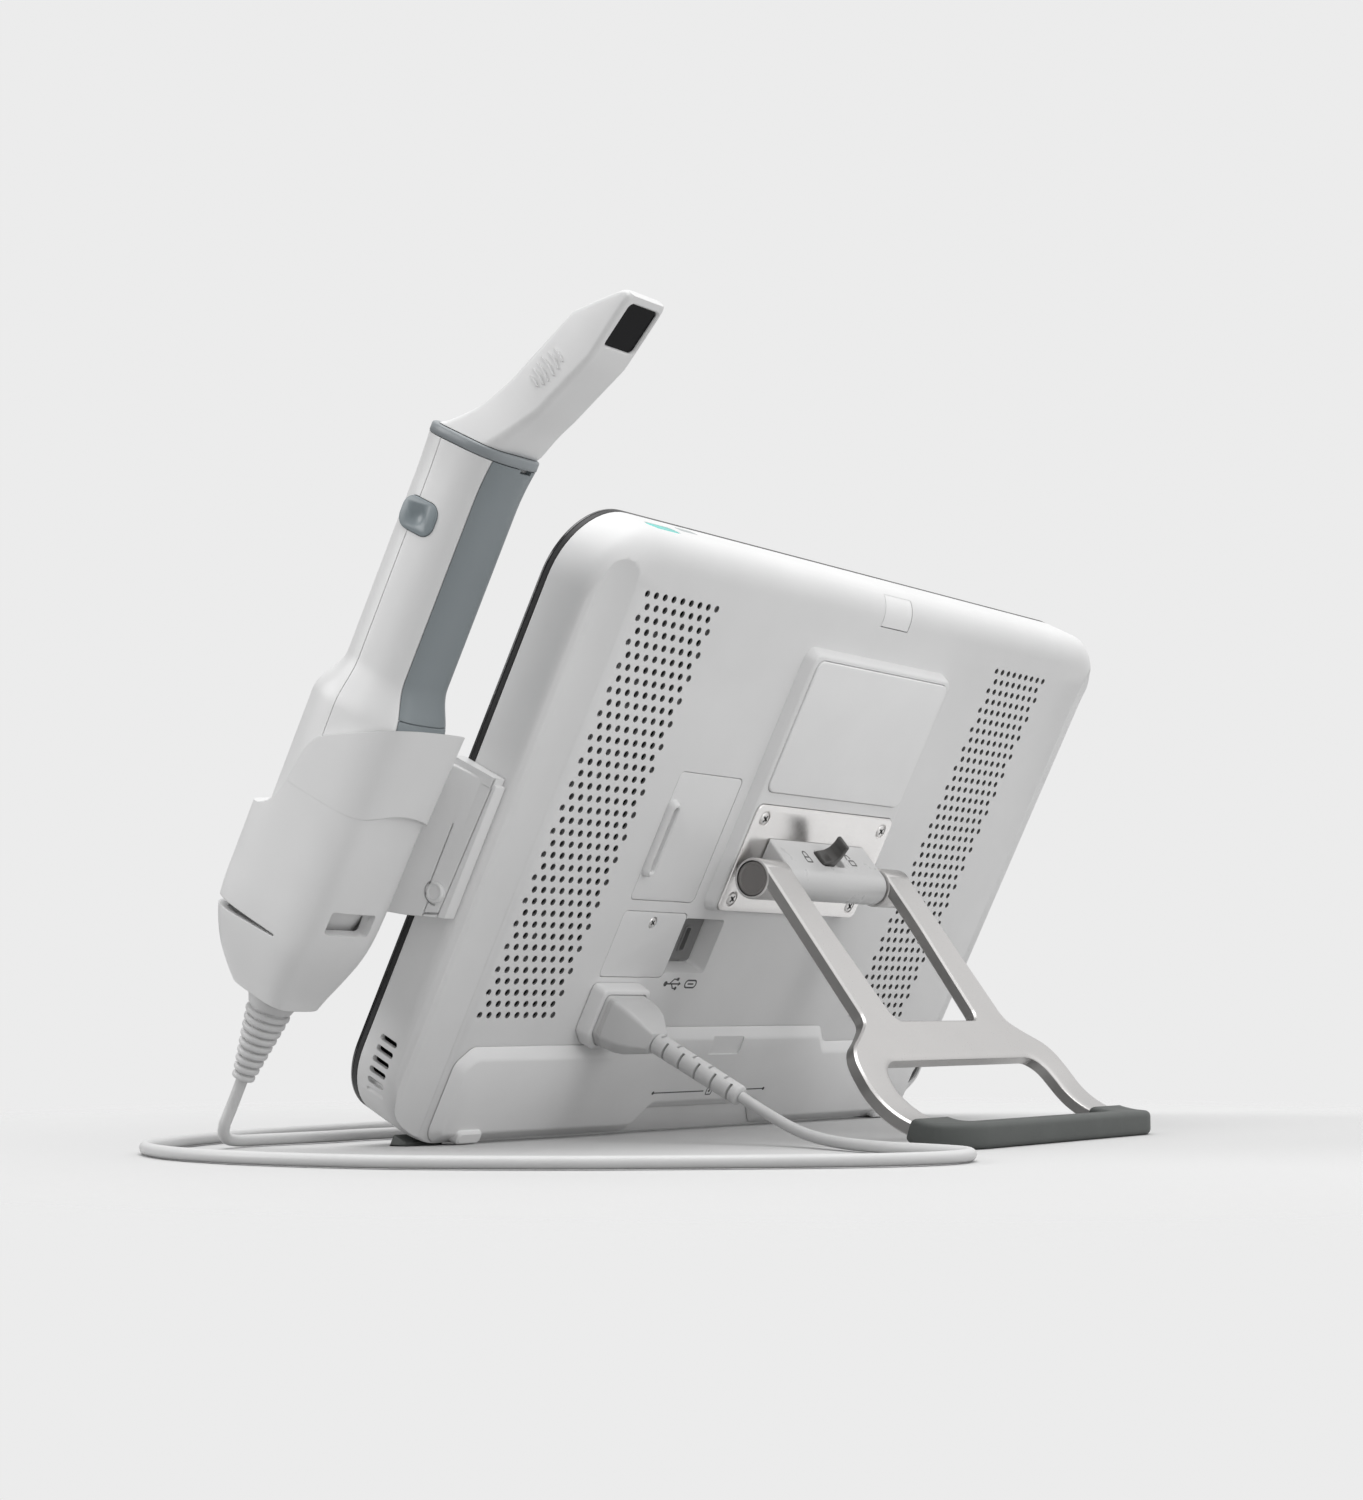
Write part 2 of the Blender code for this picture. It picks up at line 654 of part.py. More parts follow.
def inner_pieces(board_green, alloy, unit):
    """Main board on the display panel, and the finned sink behind the left air field."""
    low = BEZEL_FRONT + PANEL_THICK + GAP
    edge = VENT_LEFT + BOARD_X[1]
    board = box("main_board", (VENT_LEFT + BOARD_X[0], edge), (low, low + BOARD_THICK), BOARD_Z)
    chips = [box("chip", (edge - x, edge - x + w), (low + BOARD_THICK - EMBED, low + CHIP_RISE), (z, z + h))
             for x, z, w, h in CHIPS]
    join(board, *chips)
    finish(board, board_green, unit)
    left = VENT_LEFT + SINK_X[0]
    right = VENT_LEFT + SINK_X[1]
    sink = box("heat_sink", (left, right), (low, low + SINK_BASE), SINK_Z)
    count = int((right - left) / FIN_PITCH) + 1
    inner = left + (right - left - (count - 1) * FIN_PITCH - FIN_THICK) / 2
    fins = [box("fin", (inner + k * FIN_PITCH, inner + k * FIN_PITCH + FIN_THICK),
                (low + SINK_BASE - EMBED, low + FIN_TALL), (SINK_Z[0] + 2.0, SINK_Z[1] - 2.0)) for k in range(count)]
    join(sink, *fins)
    finish(sink, alloy, unit)


def door(material, unit):
    """Flush door, hinged along its inner edge, with a raised finger pull at the other."""
    leaf = prism("service_door", [rounded(DOOR_X, DOOR_Z, 2.7)], -DOOR_THICK, 0.0)
    mid = (PULL_Z[0] + PULL_Z[1]) / 2
    half = (PULL_Z[1] - PULL_Z[0]) / 2
    edge = DOOR_X[1]
    low = rounded((edge - PULL_W - 5.0, edge), (mid - half - 5.0, mid + half + 5.0), (7.0, 0.01, 0.01, 7.0))
    high = rounded((edge - PULL_W - 0.5, edge), (mid - half, mid + half), (3.5, 0.01, 0.01, 3.5))
    swell = layered("swell", [(-EMBED, [low]), (0.0, [low]), (PULL_RISE, [high])])
    join(leaf, swell)
    slot = prism("slot", [rounded((edge - PULL_W + 2.0, edge + BEYOND), (mid - half + 3.0, mid + half - 3.0), 1.6)],
                 0.6, BEYOND)
    cut(leaf, slot)
    return finish(leaf, material, unit, (DOOR_X[0], 0.0, (DOOR_Z[0] + DOOR_Z[1]) / 2))


def port_pieces(white, steel, dark, unit):
    cover = prism("port_cover", [rounded(PORT_COVER_X, PORT_COVER_Z, 2.7)], -DOOR_THICK, 0.0)
    seat = turned("seat", [(-1.4, PORT_SCREW_R + GAP), (EMBED, PORT_SCREW_R + GAP)], depth_axis(*PORT_SCREW), 16)
    hole = turned("hole", [(-DOOR_THICK - EMBED, 1.5), (EMBED, 1.5)], depth_axis(*PORT_SCREW), 12)
    cut(cover, seat, hole)
    finish(cover, white, unit)
    screw("port_cover_screw", PORT_SCREW, -1.4 + GAP, PORT_SCREW_R, 1.2, 1.2, 4.6, steel, unit)
    block = prism("port_block", [rounded((PORT_X[0] + 3.6, PORT_X[1] - 0.6), (PORT_Z[0] + 2.6, PORT_Z[1] - 1.6), 1.5)],
                  PORT_FLOOR + GAP, PORT_FLOOR + GAP + 2.0)
    slots = [prism("slot", [rounded((x - PORT_SLOT_W / 2, x + PORT_SLOT_W / 2), (97.5 - tall / 2, 97.5 + tall / 2), 0.8)],
                   PORT_FLOOR + GAP + 0.6, BEYOND) for x, tall in PORT_SLOTS]
    cut(block, *slots)
    finish(block, dark, unit)


def screw(name, place, seat, head_r, shank_r, head, shank, material, unit):
    """Low domed head with a cross recess, and its shank."""
    profile = [(seat - shank, shank_r), (seat, shank_r), (seat, head_r),
               (seat + head * 0.55, head_r), (seat + head, head_r * 0.62)]
    item = turned(name, profile, depth_axis(*place), 12)
    x, z = place
    arm = head_r * 0.5
    thin = head_r * 0.13
    cross = [(-thin, -arm), (thin, -arm), (thin, -thin), (arm, -thin), (arm, thin), (thin, thin), (thin, arm),
             (-thin, arm), (-thin, thin), (-arm, thin), (-arm, -thin), (-thin, -thin)]
    turn = math.radians(35.0)
    outline = [(x + a * math.cos(turn) - b * math.sin(turn), z + a * math.sin(turn) + b * math.cos(turn))
               for a, b in cross]
    cut(item, prism("cross", [outline], seat + head * 0.4, seat + head + BEYOND))
    return finish(item, material, unit)


def pad_pieces(white, bright, steel, unit):
    """Square cover and hinge plate in the raised pad, and the four plate screws."""
    base = BOSS_RISE + SHEET_RISE - SHEET
    top = BOSS_RISE + SHEET_RISE
    outline = rounded((-COVER_HALF, COVER_HALF), (COVER_LOW, COVER_HIGH), 4.7)
    cover = layered("mount_cover", [(base, [outline]), (top - 0.6, [outline]), (top, [inset(outline, 0.6)])])
    finish(cover, white, unit)
    outline = rounded((-PLATE_HALF, PLATE_HALF), (PLATE_LOW, PLATE_HIGH), 3.7)
    holes = [circle(place, SCREW_SHANK_R + GAP, 12) for place in screw_places()]
    plate = prism("hinge_plate", [outline] + holes, base, top)
    finish(plate, bright, unit)
    for k, place in enumerate(screw_places(), 1):
        screw("hinge_screw_%d" % k, place, top + GAP, SCREW_HEAD_R, SCREW_SHANK_R, SCREW_HEAD, SCREW_SHANK, steel, unit)


def fittings(materials, unit):
    button = button_tool("power_button", 0.0, BUTTON_TALL, 0.0)
    finish(button, materials["teal"], unit, (BUTTON_X, BUTTON_DEPTH, HEIGHT))

    tab = tab_solid("top_insert", 0.0, 0.0)
    finish(tab, materials["white"], unit)

    low = INLET_FLOOR + GAP
    rim = SCOOP_FLOOR + 0.4
    radius = INLET_R - GAP
    inlet = turned("dc_inlet", [(low, radius), (rim, radius), (rim, radius - 2.0), (low + 2.0, radius - 2.6),
                                (low + 2.0, 1.3), (rim - 2.0, 1.3), (rim - 1.4, 0.7)],
                   depth_axis(INLET_X, INLET_Z), 20)
    finish(inlet, materials["dark"], unit)

    slope = math.tan(LEAN)
    near, far = PAD_DEPTHS
    for name, side in (("base_foot_left", 1), ("base_foot_right", -1)):
        outline = [(near, -GAP), (near, near * slope), (far, far * slope), (far, -GAP)]
        foot = prism(name, [outline], side * PAD_X[0], side * PAD_X[1], side_view)
        finish(foot, materials["rubber"], unit)


def socket_outline(grow):
    """Outline of the wand socket: square shoulders above, chamfered corners below."""
    half = SOCKET_HALF + grow
    low = SOCKET_Z[0] - grow
    high = SOCKET_Z[1] + grow
    chamfer = SOCKET_CHAMFER + grow * 0.4
    corner = 2.5
    left = SOCKET_X - half
    right = SOCKET_X + half
    return [(left + chamfer, low), (right - chamfer, low), (right, low + chamfer), (right, high - corner),
            (right - corner, high), (left + corner, high), (left, high - corner), (left, low + chamfer)]


def socket_and_plug(white, relief, unit):
    """Raised socket ring on the back, with the plug in it and the segmented strain relief."""
    hole = socket_outline(-SOCKET_WALL)
    ring = layered("wand_socket", [(GAP, [socket_outline(0.0)]), (SOCKET_RISE - 1.0, [socket_outline(0.0)]),
                                   (SOCKET_RISE, [socket_outline(-1.0)])])
    cut(ring, prism("hole", [hole], SOCKET_FLOOR, BEYOND))
    finish(ring, white, unit)

    middle = (SOCKET_X, PLUG_Z)
    levels = []
    for depth, scale, lift in ((SOCKET_FLOOR + GAP, 1.0, 0.0), (SOCKET_RISE + 6.0, 1.0, 0.0),
                               (SOCKET_RISE + 8.0, 0.86, 0.0), (SOCKET_FLOOR + 21.0, 0.62, 0.0),
                               (SOCKET_RISE + PLUG_LONG, 0.46, 0.0)):
        outline = socket_outline(-SOCKET_WALL - GAP)
        levels.append((depth, [[(middle[0] + (u - middle[0]) * scale, middle[1] + (v - middle[1]) * scale)
                                for u, v in outline]]))
    plug = layered("wand_plug", levels)
    finish(plug, white, unit)

    start = SOCKET_RISE + PLUG_LONG + GAP
    big, small = PLUG_RELIEF_R
    profile = [(start, big), (start + 4.0, big)]
    rings = 5
    pitch = (PLUG_RELIEF - 8.0) / rings
    for k in range(rings):
        at = start + 4.0 + k * pitch
        r = big + (small - big) * (k + 1) / (rings + 1)
        profile += [(at + 0.2, r - 0.9), (at + 1.2, r - 0.9), (at + 1.4, r), (at + pitch, r - 0.1)]
    profile += [(start + PLUG_RELIEF - 3.0, small + 0.4), (start + PLUG_RELIEF - 0.6, small + 0.4),
                (start + PLUG_RELIEF, small - 0.2)]
    piece = turned("plug_strain_relief", profile, depth_axis(SOCKET_X, PLUG_Z), 12)
    finish(piece, relief, unit)


# Folding stand

def stand_values():
    """Tilt of the legs below the horizontal, and the straight length that puts the foot on the floor."""
    tilt = math.radians(90.0) - STAND_OPEN + LEAN
    hinge_height = -math.sin(LEAN) * HINGE_DEPTH + math.cos(LEAN) * HINGE_Z
    leg_mid = EYE_R - LEG_THICK / 2
    drop = hinge_height + leg_mid * math.cos(tilt) - FOOT_HEIGHT / 2 - FOOT_RADIUS * (1.0 - math.cos(tilt))
    straight = drop / math.sin(tilt)
    return tilt, leg_mid, straight


def bend(item):
    """Bend a flat blank, lying in X and length, round the foot's arc; lengths run from the hinge axis."""
    tilt, leg_mid, straight = stand_values()
    arc = FOOT_RADIUS * tilt
    bm = bmesh.new()
    bm.from_mesh(item.data)
    steps = 7
    for k in range(steps + 1):
        at = (straight + arc * k / steps) * MM
        everything = bm.verts[:] + bm.edges[:] + bm.faces[:]
        bmesh.ops.bisect_plane(bm, geom=everything, plane_co=(0, at, 0), plane_no=(0, 1, 0), dist=1e-7)
    bmesh.ops.triangulate(bm, faces=bm.faces[:])
    for vert in bm.verts:
        along = vert.co.y / MM
        across = vert.co.z / MM
        if along <= straight:
            vert.co.z = (leg_mid + across) * MM
            continue
        turn = min((along - straight) / FOOT_RADIUS, tilt)
        rest = max(0.0, along - straight - arc)
        radius = FOOT_RADIUS - across
        vert.co.y = (straight + radius * math.sin(turn) + rest * math.cos(turn)) * MM
        vert.co.z = (leg_mid + FOOT_RADIUS - radius * math.cos(turn) + rest * math.sin(turn)) * MM
    bm.to_mesh(item.data)
    bm.free()
    tidy(item)
    return item


def stand_lengths():
    tilt, leg_mid, straight = stand_values()
    end = straight + FOOT_RADIUS * tilt + FOOT_FLAT
    return straight, end


def stand_outline(grow, start=0.0):
    """Right and left edge of the blank, from the hinge to the foot."""
    straight, end = stand_lengths()
    shoulder = [(LEG_OUTER, WEB_TOP), (LEG_OUTER + 11.5, WEB_TOP + 7.5), (RAIL_OUTER - 8.0, WEB_TOP + 13.5),
                (RAIL_OUTER - 2.4, WEB_TOP + 20.5), (RAIL_OUTER, WEB_TOP + 31.5)]
    side = [(LEG_OUTER, start)] + shoulder if start < WEB_TOP else [(RAIL_OUTER, start)]
    corner = [(RAIL_OUTER - FOOT_CORNER * (1 - math.cos(math.radians(a))),
               end - FOOT_CORNER * (1 - math.sin(math.radians(a)))) for a in (0, 18, 36, 54, 72, 90)]
    right = [(x + grow, a) for x, a in side] + [(x + grow * (0.4 + 0.6 * x / RAIL_OUTER), a + grow) for x, a in corner]
    return right + [(-x, a) for x, a in reversed(right)]


def lower_window(shrink):
    straight, end = stand_lengths()
    top = WEB_LOW + shrink
    low = end - FOOT_BAR - shrink
    half = WINDOW_HALF - shrink
    right = [(half - 6.0, top), (half + 2.0, top + 5.0), (half + 4.5, top + 14.0), (half + 3.0, low - 22.0),
             (half + 0.5, low - 9.0), (half - 4.0, low - 2.5), (half - 10.0, low)]
    return [(-x, a) for x, a in right] + right[::-1]


def kickstand(metal, rubber, stand):
    """One forging: two legs, a web and a looped foot, with an eye at the top of each leg."""
    upper = [(-LEG_INNER, -BEYOND), (-LEG_INNER, LEG_PARALLEL), (-WINDOW_HALF_TOP - 2.0, WEB_TOP - 4.0),
             (-WINDOW_HALF_TOP + 1.5, WEB_TOP), (WINDOW_HALF_TOP - 1.5, WEB_TOP), (WINDOW_HALF_TOP + 2.0, WEB_TOP - 4.0),
             (LEG_INNER, LEG_PARALLEL), (LEG_INNER, -BEYOND)]
    blank = prism("kickstand", [stand_outline(0.0), lower_window(0.0)], -LEG_THICK / 2, LEG_THICK / 2, plan_view)
    cut(blank, prism("upper", [upper], -BEYOND, BEYOND, plan_view))
    bend(blank)
    for side in (1, -1):
        inner = side * (LEG_INNER - EYE_PROUD)
        outer = side * (LEG_OUTER + EYE_PROUD)
        eye = turned("eye", [(inner, EYE_R), (outer, EYE_R)], across_axis(0.0, 0.0), 26)
        join(blank, eye)
    bore = turned("bore", [(-LEG_OUTER - BEYOND, PIN_R + GAP), (LEG_OUTER + BEYOND, PIN_R + GAP)],
                  across_axis(0.0, 0.0), 20)
    seats = [turned("seat", [(side * (LEG_OUTER - CAP_THICK), CAP_R + GAP), (side * (LEG_OUTER + BEYOND), CAP_R + GAP)],
                    across_axis(0.0, 0.0), 24) for side in (1, -1)]
    cut(blank, bore, *seats)
    finish(blank, metal, stand)

    straight, end = stand_lengths()
    start = end - RUBBER_ARM
    arms = end - FOOT_BAR - RUBBER
    inner_half = WINDOW_HALF - RUBBER
    hollow = [(-inner_half, start - EMBED), (inner_half, start - EMBED), (inner_half, arms - 6.0),
              (inner_half - 2.0, arms - 1.8), (inner_half - 7.0, arms), (-inner_half + 7.0, arms),
              (-inner_half + 2.0, arms - 1.8), (-inner_half, arms - 6.0)]
    half_high = FOOT_HEIGHT / 2
    outline = stand_outline(RUBBER, start)
    sleeve = layered("foot_sleeve", [(-half_high, [inset(outline[::-1] if area(outline) < 0 else outline, 1.6)]),
                                     (-half_high + 1.6, [outline[::-1] if area(outline) < 0 else outline]),
                                     (half_high - 1.6, [outline[::-1] if area(outline) < 0 else outline]),
                                     (half_high, [inset(outline[::-1] if area(outline) < 0 else outline, 1.6)])],
                     plan_view)
    cut(sleeve, prism("hollow", [hollow], -BEYOND, BEYOND, plan_view))
    spare = GAP
    core = prism("core", [stand_outline(spare, start - BEYOND), lower_window(spare)], -LEG_THICK / 2 - spare,
                 LEG_THICK / 2 + spare, plan_view)
    cut(sleeve, core)
    bend(sleeve)
    finish(sleeve, rubber, stand)


def area(points):
    return sum(p[0] * q[1] - q[0] * p[1] for p, q in zip(points, points[1:] + points[:1])) / 2


def hinge_pieces(materials, unit, stand):
    """Fixed barrel on the plate, its pin, the end caps and the sliding lock lever."""
    seat = BOSS_RISE + SHEET_RISE + GAP
    tangent = math.radians(90.0) - BARREL_TILT
    top = (HINGE_DEPTH + BARREL_R * math.cos(tangent), HINGE_Z + BARREL_R * math.sin(tangent))
    rise = (top[0] - seat) * math.tan(BARREL_TILT)
    outline = [(seat, top[1] + rise), (seat, HINGE_Z - BARREL_R)]
    start = math.radians(-90.0)
    outline += [(HINGE_DEPTH + BARREL_R * math.cos(start + (tangent - start) * k / 10),
                 HINGE_Z + BARREL_R * math.sin(start + (tangent - start) * k / 10)) for k in range(11)]
    barrel = prism("hinge_barrel", [outline], -BARREL_HALF, BARREL_HALF, side_view)
    bore = turned("bore", [(-BARREL_HALF - EMBED, PIN_R + GAP), (BARREL_HALF + EMBED, PIN_R + GAP)],
                  across_axis(HINGE_DEPTH, HINGE_Z), 20)
    mid = ((top[0] + seat) / 2 + 1.0, 0.0)
    mid = (mid[0], top[1] + (top[0] - mid[0]) * math.tan(BARREL_TILT))
    along = Vector((math.cos(BARREL_TILT), -math.sin(BARREL_TILT)))
    out = Vector((math.sin(BARREL_TILT), math.cos(BARREL_TILT)))

    def on_flat(x, down, lift):
        point = Vector(mid) + along * down + out * lift
        return (x, point.x, point.y)

    def flat_view(u, v, h):
        return on_flat(u, v, h)

    slot = prism("slot", [rounded((-LEVER_SLOT[0], LEVER_SLOT[0]), (-LEVER_SLOT[1], LEVER_SLOT[1]), 2.0)],
                 -LEVER_DEEP, BEYOND, flat_view)
    cut(barrel, bore, slot)
    finish(barrel, materials["grey"], unit)

    pin = turned("hinge_pin", [(-LEG_OUTER + CAP_THICK + GAP * 2, PIN_R), (LEG_OUTER - CAP_THICK - GAP * 2, PIN_R)],
                 across_axis(HINGE_DEPTH, HINGE_Z), 20)
    finish(pin, materials["steel"], unit)

    for name, side in (("hinge_cap_left", 1), ("hinge_cap_right", -1)):
        inner = side * (LEG_OUTER - CAP_THICK + GAP)
        outer = side * LEG_OUTER
        cap = turned(name, [(inner, CAP_R), (outer - side * 0.5, CAP_R), (outer, CAP_R - 0.5)],
                     across_axis(0.0, 0.0), 24)
        finish(cap, materials["dark"], stand)

    half = LEVER_WIDE / 2
    under = [(LEVER_SHIFT + 5.5, -LEVER_DEEP + GAP), (LEVER_SHIFT - 5.5, -LEVER_DEEP + GAP)]
    back = [(LEVER_SHIFT - 5.5, 0.2), (LEVER_SHIFT - 6.8, 3.0), (LEVER_SHIFT - 8.4, 6.2), (LEVER_SHIFT - 10.2, 9.6)]
    front = [(LEVER_SHIFT - 6.6, 11.6), (LEVER_SHIFT - 4.6, 8.0), (LEVER_SHIFT - 2.4, 4.4), (LEVER_SHIFT + 0.8, 2.0),
             (LEVER_SHIFT + 5.5, 0.9)]
    outline = under + back + front
    lever = prism("lock_lever", [outline], -half, half, lambda u, v, h: on_flat(u, h, v))
    place = on_flat(LEVER_SHIFT, 0.0, 0.0)
    finish(lever, materials["dark"], unit, place)


# Wand and cradle

def wand_levels():
    """Section sizes up the wand: height, half width, reach to the front, reach to the back."""
    ease = [(NECK_LOW + (HIP_TOP - NECK_LOW) * k / 4, 0.5 - 0.5 * math.cos(math.pi * k / 4)) for k in range(5)]
    levels = [(WAND_TOP, WAND_HALF + 0.7, WAND_FRONT + 0.4, WAND_BACK + 1.2),
              (WAND_TOP - 6.0, WAND_HALF + 0.1, WAND_FRONT, WAND_BACK + 0.2),
              (WAND_TOP - 16.0, WAND_HALF, WAND_FRONT, WAND_BACK - 0.6)]
    for z, share in ease:
        levels.append((z, WAND_HALF + (HIP_HALF - WAND_HALF) * share, WAND_FRONT + (HIP_FRONT - WAND_FRONT) * share,
                       WAND_BACK - 0.6 + (HIP_BACK - WAND_BACK + 0.6) * share))
    levels += [(104.0, HIP_HALF, HIP_FRONT, HIP_BACK), (84.0, HIP_HALF * 0.84, HIP_FRONT * 0.84, HIP_BACK * 0.74),
               (66.0, HIP_HALF * 0.6, HIP_FRONT * 0.6, HIP_BACK * 0.42),
               (WAND_LOW, RELIEF_TOP_R * 0.8, RELIEF_TOP_R * 0.8, RELIEF_TOP_R * 0.8)]
    return levels


def wand_loft(name, grow=0.0):
    centre = (WAND_X, WAND_DEPTH)
    rings = []
    for z, half, front, back in wand_levels():
        rings.append([(x, y, z) for x, y in egg(centre, half + grow, front + grow, back + grow, 28)])
    return loft(name, rings)


def strip_slab(name, inset_by, low):
    """Space behind the back face of the wand, following it at a set distance."""
    rings = []
    for z, half, front, back in [(WAND_TOP + BEYOND, 0, 0, WAND_BACK + 1.2)] + wand_levels():
        if z < NECK_LOW - 40.0:
            continue
        y = WAND_DEPTH + back - inset_by
        rings.append([(WAND_X - BEYOND, y, z), (WAND_X + BEYOND, y, z),
                      (WAND_X + BEYOND, WAND_DEPTH + HIP_BACK + BEYOND, z),
                      (WAND_X - BEYOND, WAND_DEPTH + HIP_BACK + BEYOND, z)])
    y = WAND_DEPTH + HIP_BACK - inset_by
    rings.append([(WAND_X - BEYOND, y, low), (WAND_X + BEYOND, y, low),
                  (WAND_X + BEYOND, WAND_DEPTH + HIP_BACK + BEYOND, low),
                  (WAND_X - BEYOND, WAND_DEPTH + HIP_BACK + BEYOND, low)])
    return loft(name, rings)


def side_button_tool(name, side, spare, inner, outer):
    across, up = SIDE_BUTTON_HALF
    depth = WAND_DEPTH + SIDE_BUTTON_Y
    outline = rounded((depth - across - spare, depth + across + spare),
                      (SIDE_BUTTON_Z - up - spare, SIDE_BUTTON_Z + up + spare), 4.6 + spare, 4)
    return prism(name, [outline], WAND_X + side * inner, WAND_X + side * outer, side_view)


def wand_body(materials, unit):
    """Two shells split along the sides, the grip strip, the collar and the side buttons."""
    split = WAND_DEPTH + SHELL_SPLIT
    wide = (WAND_X - BEYOND * 2, WAND_X + BEYOND * 2)
    tall = (WAND_LOW - BEYOND, WAND_TOP + BEYOND)
    pocket = WAND_HALF - SIDE_BUTTON_DEEP - SIDE_BUTTON_TRAVEL - GAP

    upper = wand_loft("wand_shell_front")
    keep(upper, box("half", wide, (split - BEYOND * 3, split - GAP / 2), tall))
    cut(upper, *[side_button_tool("pocket", s, GAP, pocket, pocket + BEYOND) for s in (1, -1)])
    finish(upper, materials["white"], unit)

    lower = wand_loft("wand_shell_back")
    keep(lower, box("half", wide, (split + GAP / 2, split + BEYOND * 3), tall))
    cut(lower, strip_slab("groove", STRIP_INSET + GAP, STRIP_LOW - GAP))
    cut(lower, *[side_button_tool("pocket", s, GAP, pocket, pocket + BEYOND) for s in (1, -1)])
    finish(lower, materials["white"], unit)

    strip = wand_loft("grip_strip")
    keep(strip, strip_slab("slab", STRIP_INSET, STRIP_LOW))
    finish(strip, materials["slate"], unit)

    for name, side in (("side_button_left", 1), ("side_button_right", -1)):
        inner = WAND_HALF - SIDE_BUTTON_DEEP
        button = side_button_tool(name, side, 0.0, inner, WAND_HALF + SIDE_BUTTON_PROUD)
        finish(button, materials["slate"], unit, (WAND_X + side * inner, WAND_DEPTH + SIDE_BUTTON_Y, SIDE_BUTTON_Z))

    centre = (WAND_X, WAND_DEPTH)
    half = WAND_HALF + 0.9
    front = WAND_FRONT + 0.6
    back = WAND_BACK + 1.4
    outer = egg(centre, half, front, back, 28)
    bore = egg(centre, half - 5.5, front - 5.5, back - 5.5, 28)
    low = WAND_TOP + GAP
    ring = layered("collar_ring", [(low, [outer, bore]), (low + COLLAR_THICK - 0.8, [outer, bore]),
                                   (low + COLLAR_THICK, [inset(outer, 0.8), bore])], plan_view)
    finish(ring, materials["slate"], unit)


# Sleeve stations: front point and back point as (depth, height above the collar), half width, corner radius
SLEEVE = (((-66.5, 0.0), (-31.5, 0.0), 16.0, 9.0), ((-61.0, 3.2), (-29.8, 2.4), 15.4, 8.6),
          ((-50.0, 13.2), (-25.2, 11.4), 13.2, 6.4), ((-40.4, 27.3), (-19.8, 20.2), 11.9, 4.4),
          ((-23.5, 60.6), (-6.6, 46.2), 11.5, 3.2), ((-14.5, 67.8), (-2.9, 59.7), 11.3, 3.0),
          ((-5.4, 74.6), (0.3, 71.5), 10.8, 2.4), ((-2.6, 76.0), (1.1, 74.6), 9.2, 1.7))
WINDOW_HALF_W = 7.2
WINDOW_LONG = (-9.4, 9.4)
WINDOW_DEEP = 1.6


def sleeve(materials, unit):
    """Bent sleeve over the wand's nose, with a dark window near its tip."""
    base = WAND_TOP + GAP + COLLAR_THICK + GAP
    rings = []
    for (front_y, front_z), (back_y, back_z), half, corner in SLEEVE:
        long = math.hypot(back_y - front_y, back_z - front_z)
        ring = []
        for u, v in rounded((-half, half), (0.0, long), corner):
            ring.append((WAND_X + u, front_y + (back_y - front_y) * v / long,
                         base + front_z + (back_z - front_z) * v / long))
        rings.append(ring)
    body = loft("wand_sleeve", rings)
    low = Vector((SLEEVE[4][1][0], SLEEVE[4][1][1]))
    high = Vector((SLEEVE[6][1][0], SLEEVE[6][1][1]))
    up = (high - low).normalized()
    out = Vector((up.y, -up.x))
    middle = (low + high) / 2 + up * 3.4

    def window_view(u, v, h):
        point = middle + up * v + out * h
        return (WAND_X + u, point.x, base + point.y)

    mouth = rounded((-WINDOW_HALF_W, WINDOW_HALF_W), WINDOW_LONG, 2.0)
    cut(body, prism("mouth", [mouth], -WINDOW_DEEP, BEYOND, window_view))
    finish(body, materials["white"], unit)
    pane = prism("sleeve_window", [inset(mouth, GAP)], -WINDOW_DEEP + GAP, -0.5, window_view)
    finish(pane, materials["lens"], unit)


def cup_sections(grow, swell):
    """Cradle sections: height, half width, reach to the front and to the back, grown from the wand's hips."""
    half = HIP_HALF + grow
    front = HIP_FRONT + grow + swell * CUP_FRONT_SWELL
    back = HIP_BACK + grow
    low = RELIEF_TOP_R + GAP * 2 + grow - CUP_CLEAR
    return [(200.0, half, front, back + swell * 4.5), (141.0, half, front, back + swell * 1.2),
            (98.0, half, front, back), (84.0, half, front, back * 0.96), (73.0, half * 0.98, front * 0.98, back * 0.88),
            (61.0, half * 0.82, front * 0.8, back * 0.72), (53.0, half * 0.7, front * 0.62, back * 0.62),
            (CUP_LOW, low, low + 1.4, low + 3.0)]


def cup_loft(name, grow, swell=0.0, drop=0.0):
    rings = []
    for z, half, front, back in cup_sections(grow, swell):
        z = z - (drop if z == CUP_LOW else 0.0)
        rings.append([(x, y, z) for x, y in egg((WAND_X, WAND_DEPTH), half, front, back, 28, CUP_POWER)])
    return loft(name, rings)


